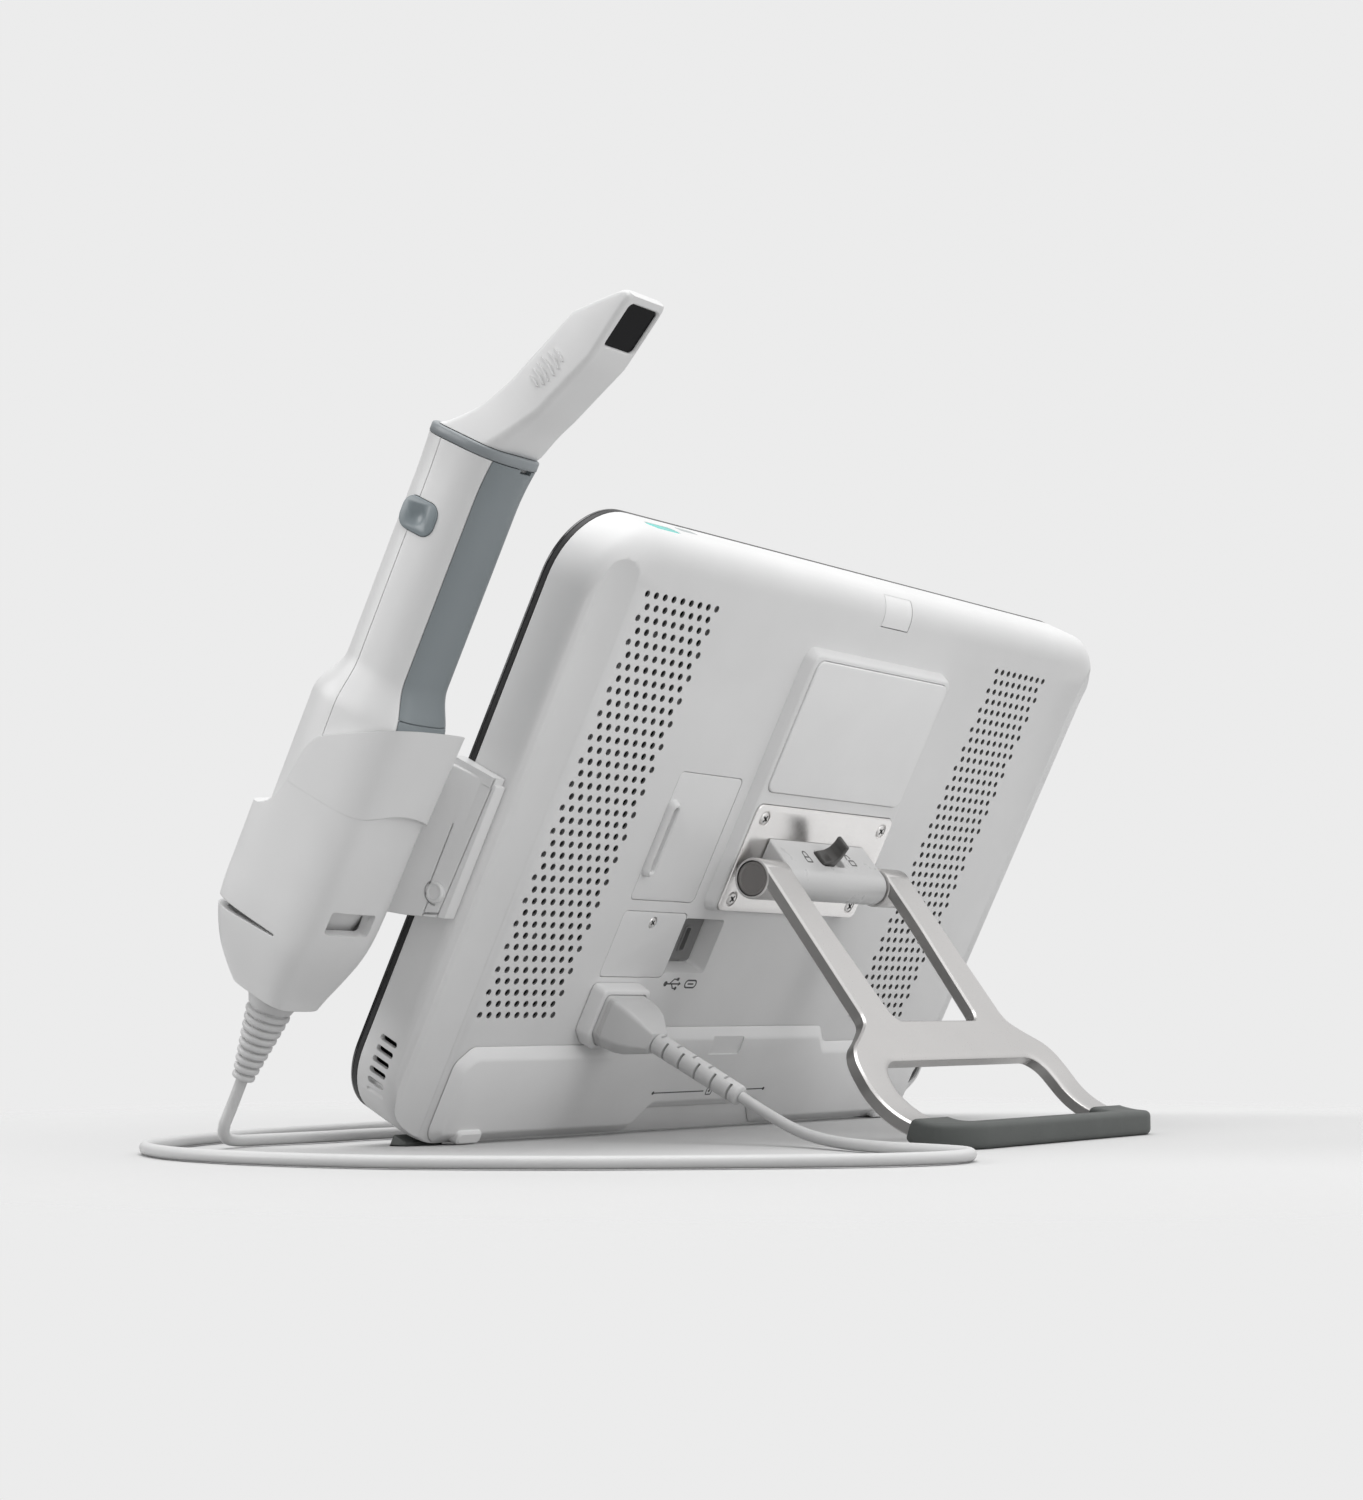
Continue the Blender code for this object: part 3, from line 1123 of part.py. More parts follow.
def cradle(material, unit):
    """Open cup for the wand with a low front lip, and the bracket that holds it to the side wall."""
    cup = cup_loft("cradle_cup", CUP_CLEAR + CUP_WALL, 1.0)
    cut(cup, cup_loft("inside", CUP_CLEAR, 0.0, BEYOND))
    cut(cup, prism("mouth", [CUP_MOUTH], WAND_X - BEYOND * 2, WAND_X + BEYOND * 2, side_view))
    (left, right), tall = CUP_WINDOW
    cut(cup, prism("window", [rounded((WAND_X + left, WAND_X + right), tall, 2.0)], WAND_DEPTH, BEYOND))
    finish(cup, material, unit)

    wall = HALF_WIDTH + GAP
    nose = WAND_X - HIP_HALF - CUP_CLEAR - CUP_WALL - GAP
    low, high = BRACKET_Z
    outline = [(wall + (nose - wall) * share, depth) for share, depth in BRACKET_PLAN]
    bracket = prism("cradle_bracket", [outline], low, high, plan_view)
    skew = [(-4.0, low + 9.4), (-10.4, low + 9.4), (-24.4, low + 3.0), (-34.0, low - 2.0), (-34.0, low - BEYOND),
            (-4.0, low - BEYOND)]
    cut(bracket, prism("skew", [skew], wall - EMBED, wall + BEYOND, side_view))
    face = wall + (nose - wall) * 0.56
    button = turned("button", [(face - 4.0, 4.3), (face + 0.6, 4.3), (face + 1.0, 3.8)],
                    across_axis(*BRACKET_BUTTON), 20)
    join(bracket, button)
    finish(bracket, material, unit)


def wand_relief(material, unit):
    """Ribbed strain relief below the cradle: a collar, then rings that get smaller."""
    top = WAND_LOW - GAP
    big, small = RELIEF_RIB_R
    profile = [(top, RELIEF_TOP_R), (44.0, RELIEF_TOP_R), (40.2, big + 0.6)]
    pitch = (40.2 - RELIEF_LOW) / RELIEF_RIBS
    for k in range(RELIEF_RIBS):
        z = 40.2 - k * pitch
        r = big + (small - big) * k / (RELIEF_RIBS - 1)
        profile += [(z - pitch * 0.2, r - 1.5), (z - pitch * 0.4, r), (z - pitch * 0.9, r)]
    profile.append((RELIEF_LOW, small - 1.0))
    item = turned("wand_strain_relief", profile, up_axis(WAND_X, WAND_DEPTH), 14)
    finish(item, material, unit)


# Cord

def to_world(x, depth, z):
    return Vector((x, math.cos(LEAN) * depth + math.sin(LEAN) * z, -math.sin(LEAN) * depth + math.cos(LEAN) * z))


def cord_route():
    """Route on the table, in the unshifted frame: out of the relief, behind the unit, round to the plug."""
    floor = CORD_R + GAP
    start = to_world(WAND_X, WAND_DEPTH, RELIEF_LOW - GAP)
    down = to_world(WAND_X, WAND_DEPTH, RELIEF_LOW - 14.0)
    end = to_world(SOCKET_X, SOCKET_RISE + PLUG_LONG + PLUG_RELIEF + GAP * 2, PLUG_Z)
    out = to_world(SOCKET_X + 0.2, SOCKET_RISE + PLUG_LONG + PLUG_RELIEF + 16.0, PLUG_Z)
    on_table = [(234, -56.5), (217, -54.5), (194, -52.5), (169, -53), (100, -47), (20, -46), (-50, -52), (-84, -66),
                (-92, -88), (-76, -106), (-30, -110), (40, -107), (90, -104), (129, -101), (171, -97.5), (206, -92.5),
                (236, -84), (262, -75), (286, -65), (304, -51), (318, -32), (329, -6), (334, 28), (331, 65),
                (320, 102), (291, 150), (258, 189), (219, 228), (189, 246), (165, 247), (148, 236), (140, 216),
                (134, 192)]
    route = [start, down, Vector((260.8, -50.5, 9.6)), Vector((256.8, -53.8, 4.8)), Vector((247.5, -56.0, 3.0))]
    route += [Vector((x, y, floor)) for x, y in on_table]
    route += [Vector((119.0, 160.0, floor + 0.6)), Vector((108.5, 136.0, 6.4)), out, end]
    return route


def smooth_path(route, count):
    """Catmull-Rom curve through the route, read at equal steps of length."""
    fine = []
    ends = [route[0] * 2 - route[1]] + route + [route[-1] * 2 - route[-2]]
    for a, b, c, d in zip(ends, ends[1:], ends[2:], ends[3:]):
        for k in range(12):
            t = k / 12.0
            fine.append(0.5 * ((2 * b) + (c - a) * t + (2 * a - 5 * b + 4 * c - d) * t * t
                               + (3 * b - a - 3 * c + d) * t ** 3))
    fine.append(route[-1])
    lengths = [0.0]
    for p, q in zip(fine, fine[1:]):
        lengths.append(lengths[-1] + (q - p).length)
    points = []
    at = 0
    for k in range(count):
        target = lengths[-1] * k / (count - 1)
        while at < len(fine) - 2 and lengths[at + 1] < target:
            at += 1
        span = lengths[at + 1] - lengths[at]
        points.append(fine[at].lerp(fine[at + 1], (target - lengths[at]) / span))
    return points, lengths[-1]


def cord(material):
    points, length = smooth_path(cord_route(), CORD_POINTS)
    curve = bpy.data.curves.new("wand_cable", "CURVE")
    curve.dimensions = "3D"
    curve.bevel_depth = CORD_R * MM
    curve.bevel_resolution = 2
    curve.use_fill_caps = True
    spline = curve.splines.new("POLY")
    spline.points.add(len(points) - 1)
    for target, point in zip(spline.points, points):
        target.co = (*(point * MM), 1.0)
    item = bpy.data.objects.new("wand_cable", curve)
    bpy.context.collection.objects.link(item)
    curve.materials.append(material)
    item.location = (-SHIFT_X * MM, -SHIFT_Y * MM, 0.0)


def main():
    clear_scene()
    materials = {
        "white": make_material("white_plastic", (0.80, 0.80, 0.80), 0.45),
        "glass": make_material("black_glass", (0.01, 0.01, 0.012), 0.08),
        "black": make_material("black_plastic", (0.02, 0.02, 0.022), 0.5),
        "panel": make_material("display_panel", (0.03, 0.03, 0.035), 0.3),
        "board": make_material("circuit_board", (0.03, 0.16, 0.07), 0.5),
        "alloy": make_material("aluminium", (0.60, 0.60, 0.60), 0.4, 1.0),
        "bright": make_material("polished_plate", (0.80, 0.79, 0.78), 0.18, 1.0),
        "steel": make_material("steel", (0.62, 0.62, 0.62), 0.3, 1.0),
        "satin": make_material("satin_metal", (0.52, 0.51, 0.50), 0.3, 1.0),
        "grey": make_material("grey_plastic", (0.62, 0.62, 0.62), 0.4),
        "dark": make_material("dark_plastic", (0.12, 0.12, 0.12), 0.45),
        "rubber": make_material("grey_rubber", (0.10, 0.105, 0.10), 0.75),
        "slate": make_material("slate_plastic", (0.24, 0.27, 0.29), 0.4),
        "teal": make_material("teal_plastic", (0.10, 0.55, 0.50), 0.35),
        "lens": make_material("dark_lens", (0.01, 0.01, 0.012), 0.1),
        "relief": make_material("relief_plastic", (0.60, 0.60, 0.60), 0.55),
        "cord": make_material("cord_jacket", (0.72, 0.72, 0.72), 0.5),
    }
    unit = empty("unit_frame", (-SHIFT_X, -SHIFT_Y, 0.0), -LEAN)
    stand = empty("stand_axis", (0.0, HINGE_DEPTH, HINGE_Z), -(math.radians(90.0) - STAND_OPEN), unit)
    rear_housing(materials["white"], unit)
    front_pieces(materials["glass"], materials["panel"], materials["black"], unit)
    inner_pieces(materials["board"], materials["alloy"], unit)
    battery_pack(materials["white"], unit)
    door(materials["white"], unit)
    port_pieces(materials["white"], materials["steel"], materials["dark"], unit)
    pad_pieces(materials["white"], materials["bright"], materials["steel"], unit)
    fittings(materials, unit)
    socket_and_plug(materials["white"], materials["relief"], unit)
    hinge_pieces(materials, unit, stand)
    kickstand(materials["satin"], materials["rubber"], stand)
    wand_body(materials, unit)
    sleeve(materials, unit)
    cradle(materials["white"], unit)
    wand_relief(materials["relief"], unit)
    cord(materials["cord"])


main()
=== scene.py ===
"""Looks for the intraoral scanner: camera, cord, finer pieces, materials, stage and light.

Shapes are in millimetres of the unit frame: X width, depth out of the back, Z up the back. UNIT leans
them and turns them into metres. Places on the table are millimetres too, and TABLE turns those.
"""
import math

import bmesh
import bpy
from mathutils import Matrix, Vector
from mathutils.geometry import tessellate_polygon


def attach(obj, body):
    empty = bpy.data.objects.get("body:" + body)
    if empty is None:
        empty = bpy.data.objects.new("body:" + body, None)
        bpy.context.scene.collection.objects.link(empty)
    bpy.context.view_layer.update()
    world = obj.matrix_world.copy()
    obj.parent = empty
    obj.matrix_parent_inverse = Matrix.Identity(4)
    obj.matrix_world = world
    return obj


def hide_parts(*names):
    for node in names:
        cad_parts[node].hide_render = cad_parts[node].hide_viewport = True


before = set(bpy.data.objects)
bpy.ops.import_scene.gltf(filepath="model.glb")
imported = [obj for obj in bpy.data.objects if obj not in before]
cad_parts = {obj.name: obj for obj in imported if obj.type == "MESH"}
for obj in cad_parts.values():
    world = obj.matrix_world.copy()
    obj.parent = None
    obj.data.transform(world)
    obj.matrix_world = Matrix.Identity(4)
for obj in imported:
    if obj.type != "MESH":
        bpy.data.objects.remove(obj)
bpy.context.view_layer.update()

MM = 0.001
GAP = 0.3
BEYOND = 30.0
LEAN = math.radians(26.96)
SHIFT = Vector((-32.1, -80.8, 0.0))
TABLE = Matrix.Translation(SHIFT * MM) @ Matrix.Scale(MM, 4)
UNIT = Matrix.Translation(SHIFT * MM) @ Matrix.Rotation(-LEAN, 4, "X") @ Matrix.Scale(MM, 4)
STAND_OPEN = math.radians(63.96)
HINGE_DEPTH = 19.7
HINGE_Z = 141.0
STAND = UNIT @ Matrix.Translation((0.0, HINGE_DEPTH, HINGE_Z)) @ Matrix.Rotation(STAND_OPEN - math.pi / 2, 4, "X")
WAND_X = 260.0
WAND_DEPTH = -50.0
AXIS = (WAND_X, WAND_DEPTH)


def put(name, data):
    item = bpy.data.objects.new(name, data)
    bpy.context.collection.objects.link(item)
    return item


# Camera

def make_camera():
    data = bpy.data.cameras.new("camera")
    data.sensor_fit = "HORIZONTAL"
    data.sensor_width = 36.0
    data.lens = 68.45
    data.clip_start = 0.01
    camera = put("camera", data)
    back = Vector((0.8125, 0.5743, -0.1000)).normalized()
    up = back.cross(Vector((-0.5772, 0.8166, 0.0))).normalized()
    turn = Matrix((up.cross(back), up, back)).transposed().to_4x4()
    camera.matrix_world = Matrix.Translation((Vector((1037.9, 731.2, 57.4)) + SHIFT) * MM) @ turn
    bpy.context.scene.camera = camera


make_camera()


# Materials

class Nodes:
    """Helper for building the node tree of a material or a world."""

    def __init__(self, owner):
        owner.use_nodes = True
        self.owner = owner
        self.tree = owner.node_tree
        self.shader = self.tree.nodes.get("Principled BSDF")
        self.coords = None

    def feed(self, socket, value):
        if isinstance(value, bpy.types.NodeSocket):
            self.tree.links.new(value, socket)
        else:
            socket.default_value = value

    def node(self, kind, inputs=None, **values):
        """New node; inputs gives each named or numbered socket a value or the socket that feeds it."""
        item = self.tree.nodes.new("ShaderNode" + kind)
        for key, value in values.items():
            setattr(item, key, value)
        for key, value in (inputs or {}).items():
            self.feed(item.inputs[key], value)
        return item

    def surface(self, values):
        for key, value in values.items():
            self.feed(self.shader.inputs[key], value)

    def place(self):
        if self.coords is None:
            self.coords = self.node("TexCoord").outputs["Object"]
        return self.coords

    def noise(self, scale, detail=2.0, roughness=0.5, stretch=None):
        source = self.place()
        if stretch:
            source = self.node("Mapping", {"Vector": source, "Scale": stretch}).outputs["Vector"]
        inputs = {"Vector": source, "Scale": scale, "Detail": detail, "Roughness": roughness}
        return self.node("TexNoise", inputs).outputs["Fac"]

    def ramp(self, value, start, end, low, high, **values):
        inputs = {"Value": value, "From Min": start, "From Max": end, "To Min": low, "To Max": high}
        return self.node("MapRange", inputs, **values).outputs["Result"]

    def spread(self, noise, low, high):
        return self.ramp(noise, 0.3, 0.7, low, high)

    def tint(self, noise, dark, light):
        share = self.spread(noise, 0.0, 1.0)
        return self.node("Mix", {0: share, 6: (*dark, 1.0), 7: (*light, 1.0)}, data_type="RGBA").outputs[2]

    def relief(self, heights, edge):
        """Chain of bumps, each (height socket, strength, distance), over softened edges."""
        below = {"Normal": self.node("Bevel", {"Radius": edge}, samples=6).outputs["Normal"]} if edge else {}
        for height, strength, distance in heights:
            bump = self.node("Bump", {"Height": height, "Strength": strength, "Distance": distance, **below})
            below = {"Normal": bump.outputs["Normal"]}
        self.surface(below)


def plastic(name, colour, rough, grain=0.05, edge=0.0005, variation=0.03, grain_size=2600.0, coat=0.0):
    """Moulded plastic: fine spark-eroded grain, faint flow clouds and uneven gloss."""
    n = Nodes(bpy.data.materials.new(name))
    dark = [c * (1.0 - variation) for c in colour]
    light = [min(1.0, c * (1.0 + variation)) for c in colour]
    n.surface({"Base Color": n.tint(n.noise(14.0, 3.0, 0.55), dark, light),
               "Roughness": n.spread(n.noise(60.0, 4.0, 0.6), rough - 0.05, rough + 0.05)})
    n.relief([(n.noise(grain_size, 2.0, 0.6), grain, 0.00012),
              (n.noise(grain_size * 0.22, 2.0, 0.5), grain * 0.6, 0.0003)], edge)
    if coat:
        n.surface({"Coat Weight": coat, "Coat Roughness": 0.18})
    return n.owner


def metal(name, colour, rough, grain=0.06, variation=0.06, stretch=(1.0, 1.0, 1.0)):
    """Blasted or brushed metal: clouds in the tone, fine grain in gloss and surface."""
    n = Nodes(bpy.data.materials.new(name))
    dark = [c * (1.0 - variation) for c in colour]
    n.surface({"Metallic": 1.0, "Base Color": n.tint(n.noise(30.0, 4.0, 0.6), dark, colour)})
    fine = n.noise(1400.0, 3.0, 0.6, stretch)
    n.surface({"Roughness": n.spread(fine, rough - 0.03, rough + 0.03)})
    n.relief([(fine, grain, 0.00015)], 0.0004)
    return n.owner


FINISHES = {
    "white": (plastic, "white_shell", 0.79, 0.42),
    "wand_white": (plastic, "wand_shell", 0.82, 0.34, 0.02, 0.0004),
    "sleeve": (plastic, "sleeve_shell", 0.83, 0.38, 0.03, 0.0004),
    # Lighter white plastic of the covers; on the pack lid it is painted light over a shaded spot.
    "cover": (plastic, "cover_shell", 0.86, 0.40, 0.03, 0.0004),
    "barrel": (plastic, "barrel_shell", 0.60, 0.30, 0.02, 0.0006),
    "glass": (plastic, "front_glass", (0.010, 0.010, 0.012), 0.10, 0.004, 0.0006, 0.1, 2600.0, 0.6),
    "bezel": (plastic, "front_rim", (0.012, 0.012, 0.013), 0.45, 0.05, 0.0004),
    "panel": (plastic, "panel_back", (0.05, 0.05, 0.055), 0.4, 0.05),
    "board": (plastic, "board_green", (0.02, 0.12, 0.05), 0.4, 0.1, 0.0002, 0.2),
    "alloy": (metal, "sink_alloy", (0.60, 0.60, 0.61), 0.42),
    "plate": (metal, "plate_bright", (0.93, 0.915, 0.905), 0.26, 0.03, 0.06, (1.0, 14.0, 14.0)),
    "steel": (metal, "screw_steel", (0.82, 0.81, 0.80), 0.30, 0.05),
    "satin": (metal, "stand_satin", (0.62, 0.608, 0.60), 0.30, 0.02, 0.03),
    # Darker copy of the satin metal for the side walls of the stand legs: painted shade.
    "flank": (metal, "stand_flank", (0.36, 0.353, 0.348), 0.34, 0.02, 0.03),
    # Dark plastic of the inlet cup; the screw cross recesses get it too, as painted shade.
    "dark": (plastic, "dark_fitting", 0.075, 0.42, 0.06),
    # Grey of the port block; the walls of the air holes get it too, as painted shade inside the holes.
    "port": (plastic, "port_fitting", 0.22, 0.45, 0.06, 0.0002),
    "lever": (plastic, "lever_dark", (0.085, 0.083, 0.080), 0.34, 0.05, 0.0006),
    "cap": (metal, "cap_dark", (0.24, 0.23, 0.225), 0.38, 0.06),
    "rubber": (plastic, "foot_rubber", (0.085, 0.092, 0.088), 0.62, 0.14, 0.0012, 0.08, 1800.0),
    "slate": (plastic, "slate_grip", (0.23, 0.26, 0.275), 0.34, 0.04, 0.0003),
    "slate_button": (plastic, "slate_button", (0.25, 0.29, 0.31), 0.36, 0.04, 0.0004),
    "ring": (plastic, "slate_ring", (0.29, 0.315, 0.33), 0.36, 0.04, 0.0003),
    "teal": (plastic, "teal_lens", (0.10, 0.62, 0.56), 0.25, 0.02, 0.0003),
    "lens": (plastic, "window_lens", (0.003, 0.003, 0.004), 0.22, 0.003, 0.0002, 0.1),
    "relief": (plastic, "relief_shell", 0.68, 0.50, 0.06, 0.0003),
    "plug": (plastic, "plug_shell", 0.62, 0.42, 0.05, 0.0006),
    "cord": (plastic, "cord_sheath", 0.66, 0.42, 0.06, 0.0, 0.04, 1500.0),
    "cradle": (plastic, "cradle_shell", 0.80, 0.40, 0.04, 0.0007),
    "pale_ink": (plastic, "print_pale", (0.42, 0.45, 0.45), 0.5, 0.02, 0.0),
    "ink": (plastic, "print_grey", 0.07, 0.5, 0.02, 0.0),
}
M = {key: kind(name, colour if isinstance(colour, tuple) else (colour,) * 3, *rest)
     for key, (kind, name, colour, *rest) in FINISHES.items()}
M["lens"].node_tree.nodes["Principled BSDF"].inputs["Specular IOR Level"].default_value = 0.12

for inner_node, inner_key in (("display_panel", "panel"), ("main_board", "board"), ("heat_sink", "alloy"),
                              ("hinge_pin", "steel")):
    for material_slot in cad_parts[inner_node].material_slots:
        material_slot.material = M[inner_key]


# Outlines, as lists of (u, v)

def area(points):
    return sum(p[0] * q[1] - q[0] * p[1] for p, q in zip(points, points[1:] + points[:1])) / 2


def ordered(points):
    """The same outline, counterclockwise."""
    return points if area(points) > 0 else points[::-1]


def thinned(points):
    return [p for i, p in enumerate(points) if math.dist(p, points[i - 1]) > 0.02]


def mirrored(points):
    return [(-x, z) for x, z in reversed(points)]


def grown(span, by):
    return (span[0] - by, span[1] + by)


def rounded(xs, zs, radius, steps=8):
    corners = ((xs[0], zs[0], 1, 1, 180), (xs[1], zs[0], -1, 1, 270), (xs[1], zs[1], -1, -1, 0),
               (xs[0], zs[1], 1, -1, 90))
    points = []
    for x, z, sx, sz, start in corners:
        for k in range(steps + 1):
            turn = math.radians(start + 90.0 * k / steps)
            points.append((x + sx * radius + radius * math.cos(turn), z + sz * radius + radius * math.sin(turn)))
    return points


def circle(centre, radius, count=32):
    return [(centre[0] + radius * math.cos(2 * math.pi * k / count),
             centre[1] + radius * math.sin(2 * math.pi * k / count)) for k in range(count)]


def inset(points, distance):
    moved = []
    for i, point in enumerate(points):
        here = Vector(point)
        first = (here - Vector(points[i - 1])).normalized()
        second = (Vector(points[(i + 1) % len(points)]) - here).normalized()
        n1 = Vector((-first.y, first.x))
        n2 = Vector((-second.y, second.x))
        moved.append(tuple(here + (n1 + n2) * (distance / max(0.35, 1.0 + n1.dot(n2)))))
    return moved


def smooth_loop(points, radius, steps=5):
    """Closed outline with every corner rounded by a radius, or less where the sides are short."""
    out = []
    for i, point in enumerate(points):
        here = Vector(point)
        back = Vector(points[i - 1]) - here
        ahead = Vector(points[(i + 1) % len(points)]) - here
        wanted = radius[i] if isinstance(radius, (tuple, list)) else radius
        reach = min(wanted, back.length * 0.45, ahead.length * 0.45)
        start = here + back.normalized() * reach
        end = here + ahead.normalized() * reach
        for k in range(steps + 1):
            t = k / steps
            out.append(tuple(start * (1 - t) ** 2 + here * 2 * t * (1 - t) + end * t ** 2))
    return out


def curve_through(points, steps=6):
    """Open Catmull-Rom curve through tuples of any length."""
    ends = [tuple(2 * a - b for a, b in zip(points[0], points[1]))] + list(points)
    ends.append(tuple(2 * a - b for a, b in zip(points[-1], points[-2])))
    out = []
    for a, b, c, d in zip(ends, ends[1:], ends[2:], ends[3:]):
        for k in range(steps):
            t = k / steps
            out.append(tuple(0.5 * (2 * q + (r - p) * t + (2 * p - 5 * q + 4 * r - s) * t * t
                                    + (3 * q - p - 3 * r + s) * t ** 3) for p, q, r, s in zip(a, b, c, d)))
    out.append(tuple(points[-1]))
    return out


def egg(centre, half, front, back, power=3.0, count=96):
    points = []
    for k in range(count):
        turn = 2.0 * math.pi * (k + 0.5) / count
        c = math.cos(turn)
        s = math.sin(turn)
        reach = back if s > 0 else front
        points.append((centre[0] + half * math.copysign(abs(c) ** (2.0 / power), c),
                       centre[1] + reach * math.copysign(abs(s) ** (2.0 / power), s)))
    return points


# Solids, in millimetres of the frame they are placed in

def back_view(u, v, h):
    return (u, h, v)


def side_view(u, v, h):
    return (h, u, v)


def plan_view(u, v, h):
    return (u, v, h)


def as_object(bm, name="shape"):
    mesh = bpy.data.meshes.new(name)
    bm.to_mesh(mesh)
    bm.free()
    return put(name, mesh)


def solid(bm):
    bmesh.ops.remove_doubles(bm, verts=bm.verts[:], dist=1e-4)
    bmesh.ops.recalc_face_normals(bm, faces=bm.faces[:])
    return as_object(bm)


def skin(bm, low, high):
    """Walls between two rings of vertices."""
    for i in range(len(low)):
        j = (i + 1) % len(low)
        bm.faces.new((low[i], low[j], high[j], high[i]))


def layered(levels, view=back_view):
    """Closed solid through levels of (height, loops); the first loop is the outline, the rest are holes."""
    bm = bmesh.new()
    rows = [[[bm.verts.new(view(u, v, height)) for u, v in loop] for loop in loops] for height, loops in levels]
    for low, high in zip(rows, rows[1:]):
        for ring_low, ring_high in zip(low, high):
            skin(bm, ring_low, ring_high)
    for (height, loops), row in ((levels[0], rows[0]), (levels[-1], rows[-1])):
        flat = [vert for ring in row for vert in ring]
        if len(loops) == 1:
            bm.faces.new(flat)
            continue
        for triangle in tessellate_polygon([[Vector((u, v, 0.0)) for u, v in loop] for loop in loops]):
            bm.faces.new([flat[k] for k in triangle])
    return solid(bm)


def prism(loops, low, high, view=back_view):
    return layered([(low, loops), (high, loops)], view)


def box(xs, depths, zs):
    return prism([[(xs[0], zs[0]), (xs[1], zs[0]), (xs[1], zs[1]), (xs[0], zs[1])]], depths[0], depths[1])


def soft_prism(outline, low, high, round_low=0.0, round_high=0.0, view=back_view, steps=3):
    """Prism whose outer rims are rounded over by round_low and round_high."""
    turns = [math.pi / 2 * k / steps for k in range(steps + 1)]
    levels = [(low + round_low * (1 - math.cos(t)), round_low * (1 - math.sin(t)))
              for t in (turns if round_low else turns[-1:])]
    levels += [(high - round_high * (1 - math.sin(t)), round_high * (1 - math.cos(t)))
               for t in (turns if round_high else turns[:1])]
    return layered([(height, [inset(outline, edge) if edge > 1e-6 else outline]) for height, edge in levels], view)


def loft(rings):
    bm = bmesh.new()
    rows = [[bm.verts.new(point) for point in ring] for ring in rings]
    for low, high in zip(rows, rows[1:]):
        skin(bm, low, high)
    bm.faces.new(rows[0])
    bm.faces.new(rows[-1])
    return solid(bm)


def turned(profile, place, segments=48):
    """Solid of revolution through (along, radius) pairs; place puts its axis in the frame."""
    turns = [2.0 * math.pi * k / segments for k in range(segments)]
    return loft([[place(along, radius * math.cos(t), radius * math.sin(t)) for t in turns]
                 for along, radius in profile])


def across_axis(centre_depth, centre_z):
    return lambda along, side, up: (along, centre_depth + side, centre_z + up)


def depth_axis(centre_x, centre_z):
    return lambda along, side, up: (centre_x + side, along, centre_z + up)


def up_axis(centre_x, centre_depth):
    return lambda along, side, up: (centre_x + side, centre_depth + up, along)


def band(points, width, low, high, view):
    """Thin flat strip along an open line."""
    left = []
    right = []
    for i, point in enumerate(points):
        here = Vector(point)
        ahead = (Vector(points[min(i + 1, len(points) - 1)]) - Vector(points[max(i - 1, 0)])).normalized()
        side = Vector((-ahead.y, ahead.x)) * width / 2
        left.append(tuple(here + side))
        right.append(tuple(here - side))
    return prism([left + right[::-1]], low, high, view)


def combine(item, tools, operation):
    for tool in tools:
        modifier = item.modifiers.new("boolean", "BOOLEAN")
        modifier.operation = operation
        modifier.solver = "EXACT"
        modifier.object = tool
        bpy.context.view_layer.update()
        graph = bpy.context.evaluated_depsgraph_get()
        mesh = bpy.data.meshes.new_from_object(item.evaluated_get(graph))
        item.modifiers.clear()
        item.data = mesh
        bpy.data.objects.remove(tool, do_unlink=True)
        bm = bmesh.new()
        bm.from_mesh(mesh)
        bmesh.ops.remove_doubles(bm, verts=bm.verts[:], dist=1e-3)
        bm.to_mesh(mesh)
        bm.free()


def cut(item, *tools):
    combine(item, tools, "DIFFERENCE")


def join(item, *tools):
    combine(item, tools, "UNION")


def keep(item, tool):
    combine(item, [tool], "INTERSECT")


def together(*items):
    """Several separate shells in one mesh."""
    bm = bmesh.new()
    for item in items:
        bm.from_mesh(item.data)
        bpy.data.objects.remove(item, do_unlink=True)
    return as_object(bm)


def place_piece(item, name, key, nodes, body="unit", where=UNIT, sharp=34.0):
    """Names a piece, turns it into metres, and lets it ride with a body in place of its CAD nodes."""
    item.name = name
    item.data.name = name
    item.data.transform(where)
    item.data.materials.clear()
    item.data.materials.append(M[key])
    item.data.shade_smooth()
    item.data.set_sharp_from_angle(angle=math.radians(sharp))
    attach(item, body)
    if nodes:
        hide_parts(*nodes)


def second_finish(item, key, chosen):
    """Gives some faces of a piece another finish; chosen holds one truth value for each face."""
    item.data.materials.append(M[key])
    for face, other in zip(item.data.polygons, chosen):
        if other:
            face.material_index = 1


# Cord

CORD_R = 2.5
RELIEF_LOW = 7.5
SOCKET_X = 103.0
PLUG_Z = 64.3
PLUG_END = 81.0
ON_TABLE = ((234, -56.5), (217, -54.5), (194, -52.5), (169, -53), (100, -47), (20, -46), (-50, -52), (-84, -66),
            (-92, -88), (-76, -106), (-30, -110), (40, -107), (90, -104), (129, -101), (171, -97.5), (206, -92.5),
            (236, -84), (262, -75), (286, -65), (304, -51), (318, -32), (329, -6), (334, 28), (331, 65),
            (320, 102), (291, 150), (258, 189), (219, 228), (189, 246), (165, 247), (148, 236), (140, 216),
            (134, 192))


def leaned(x, depth, z):
    """A place of the unit frame, seen from the table."""
    return (x, math.cos(LEAN) * depth + math.sin(LEAN) * z, -math.sin(LEAN) * depth + math.cos(LEAN) * z)


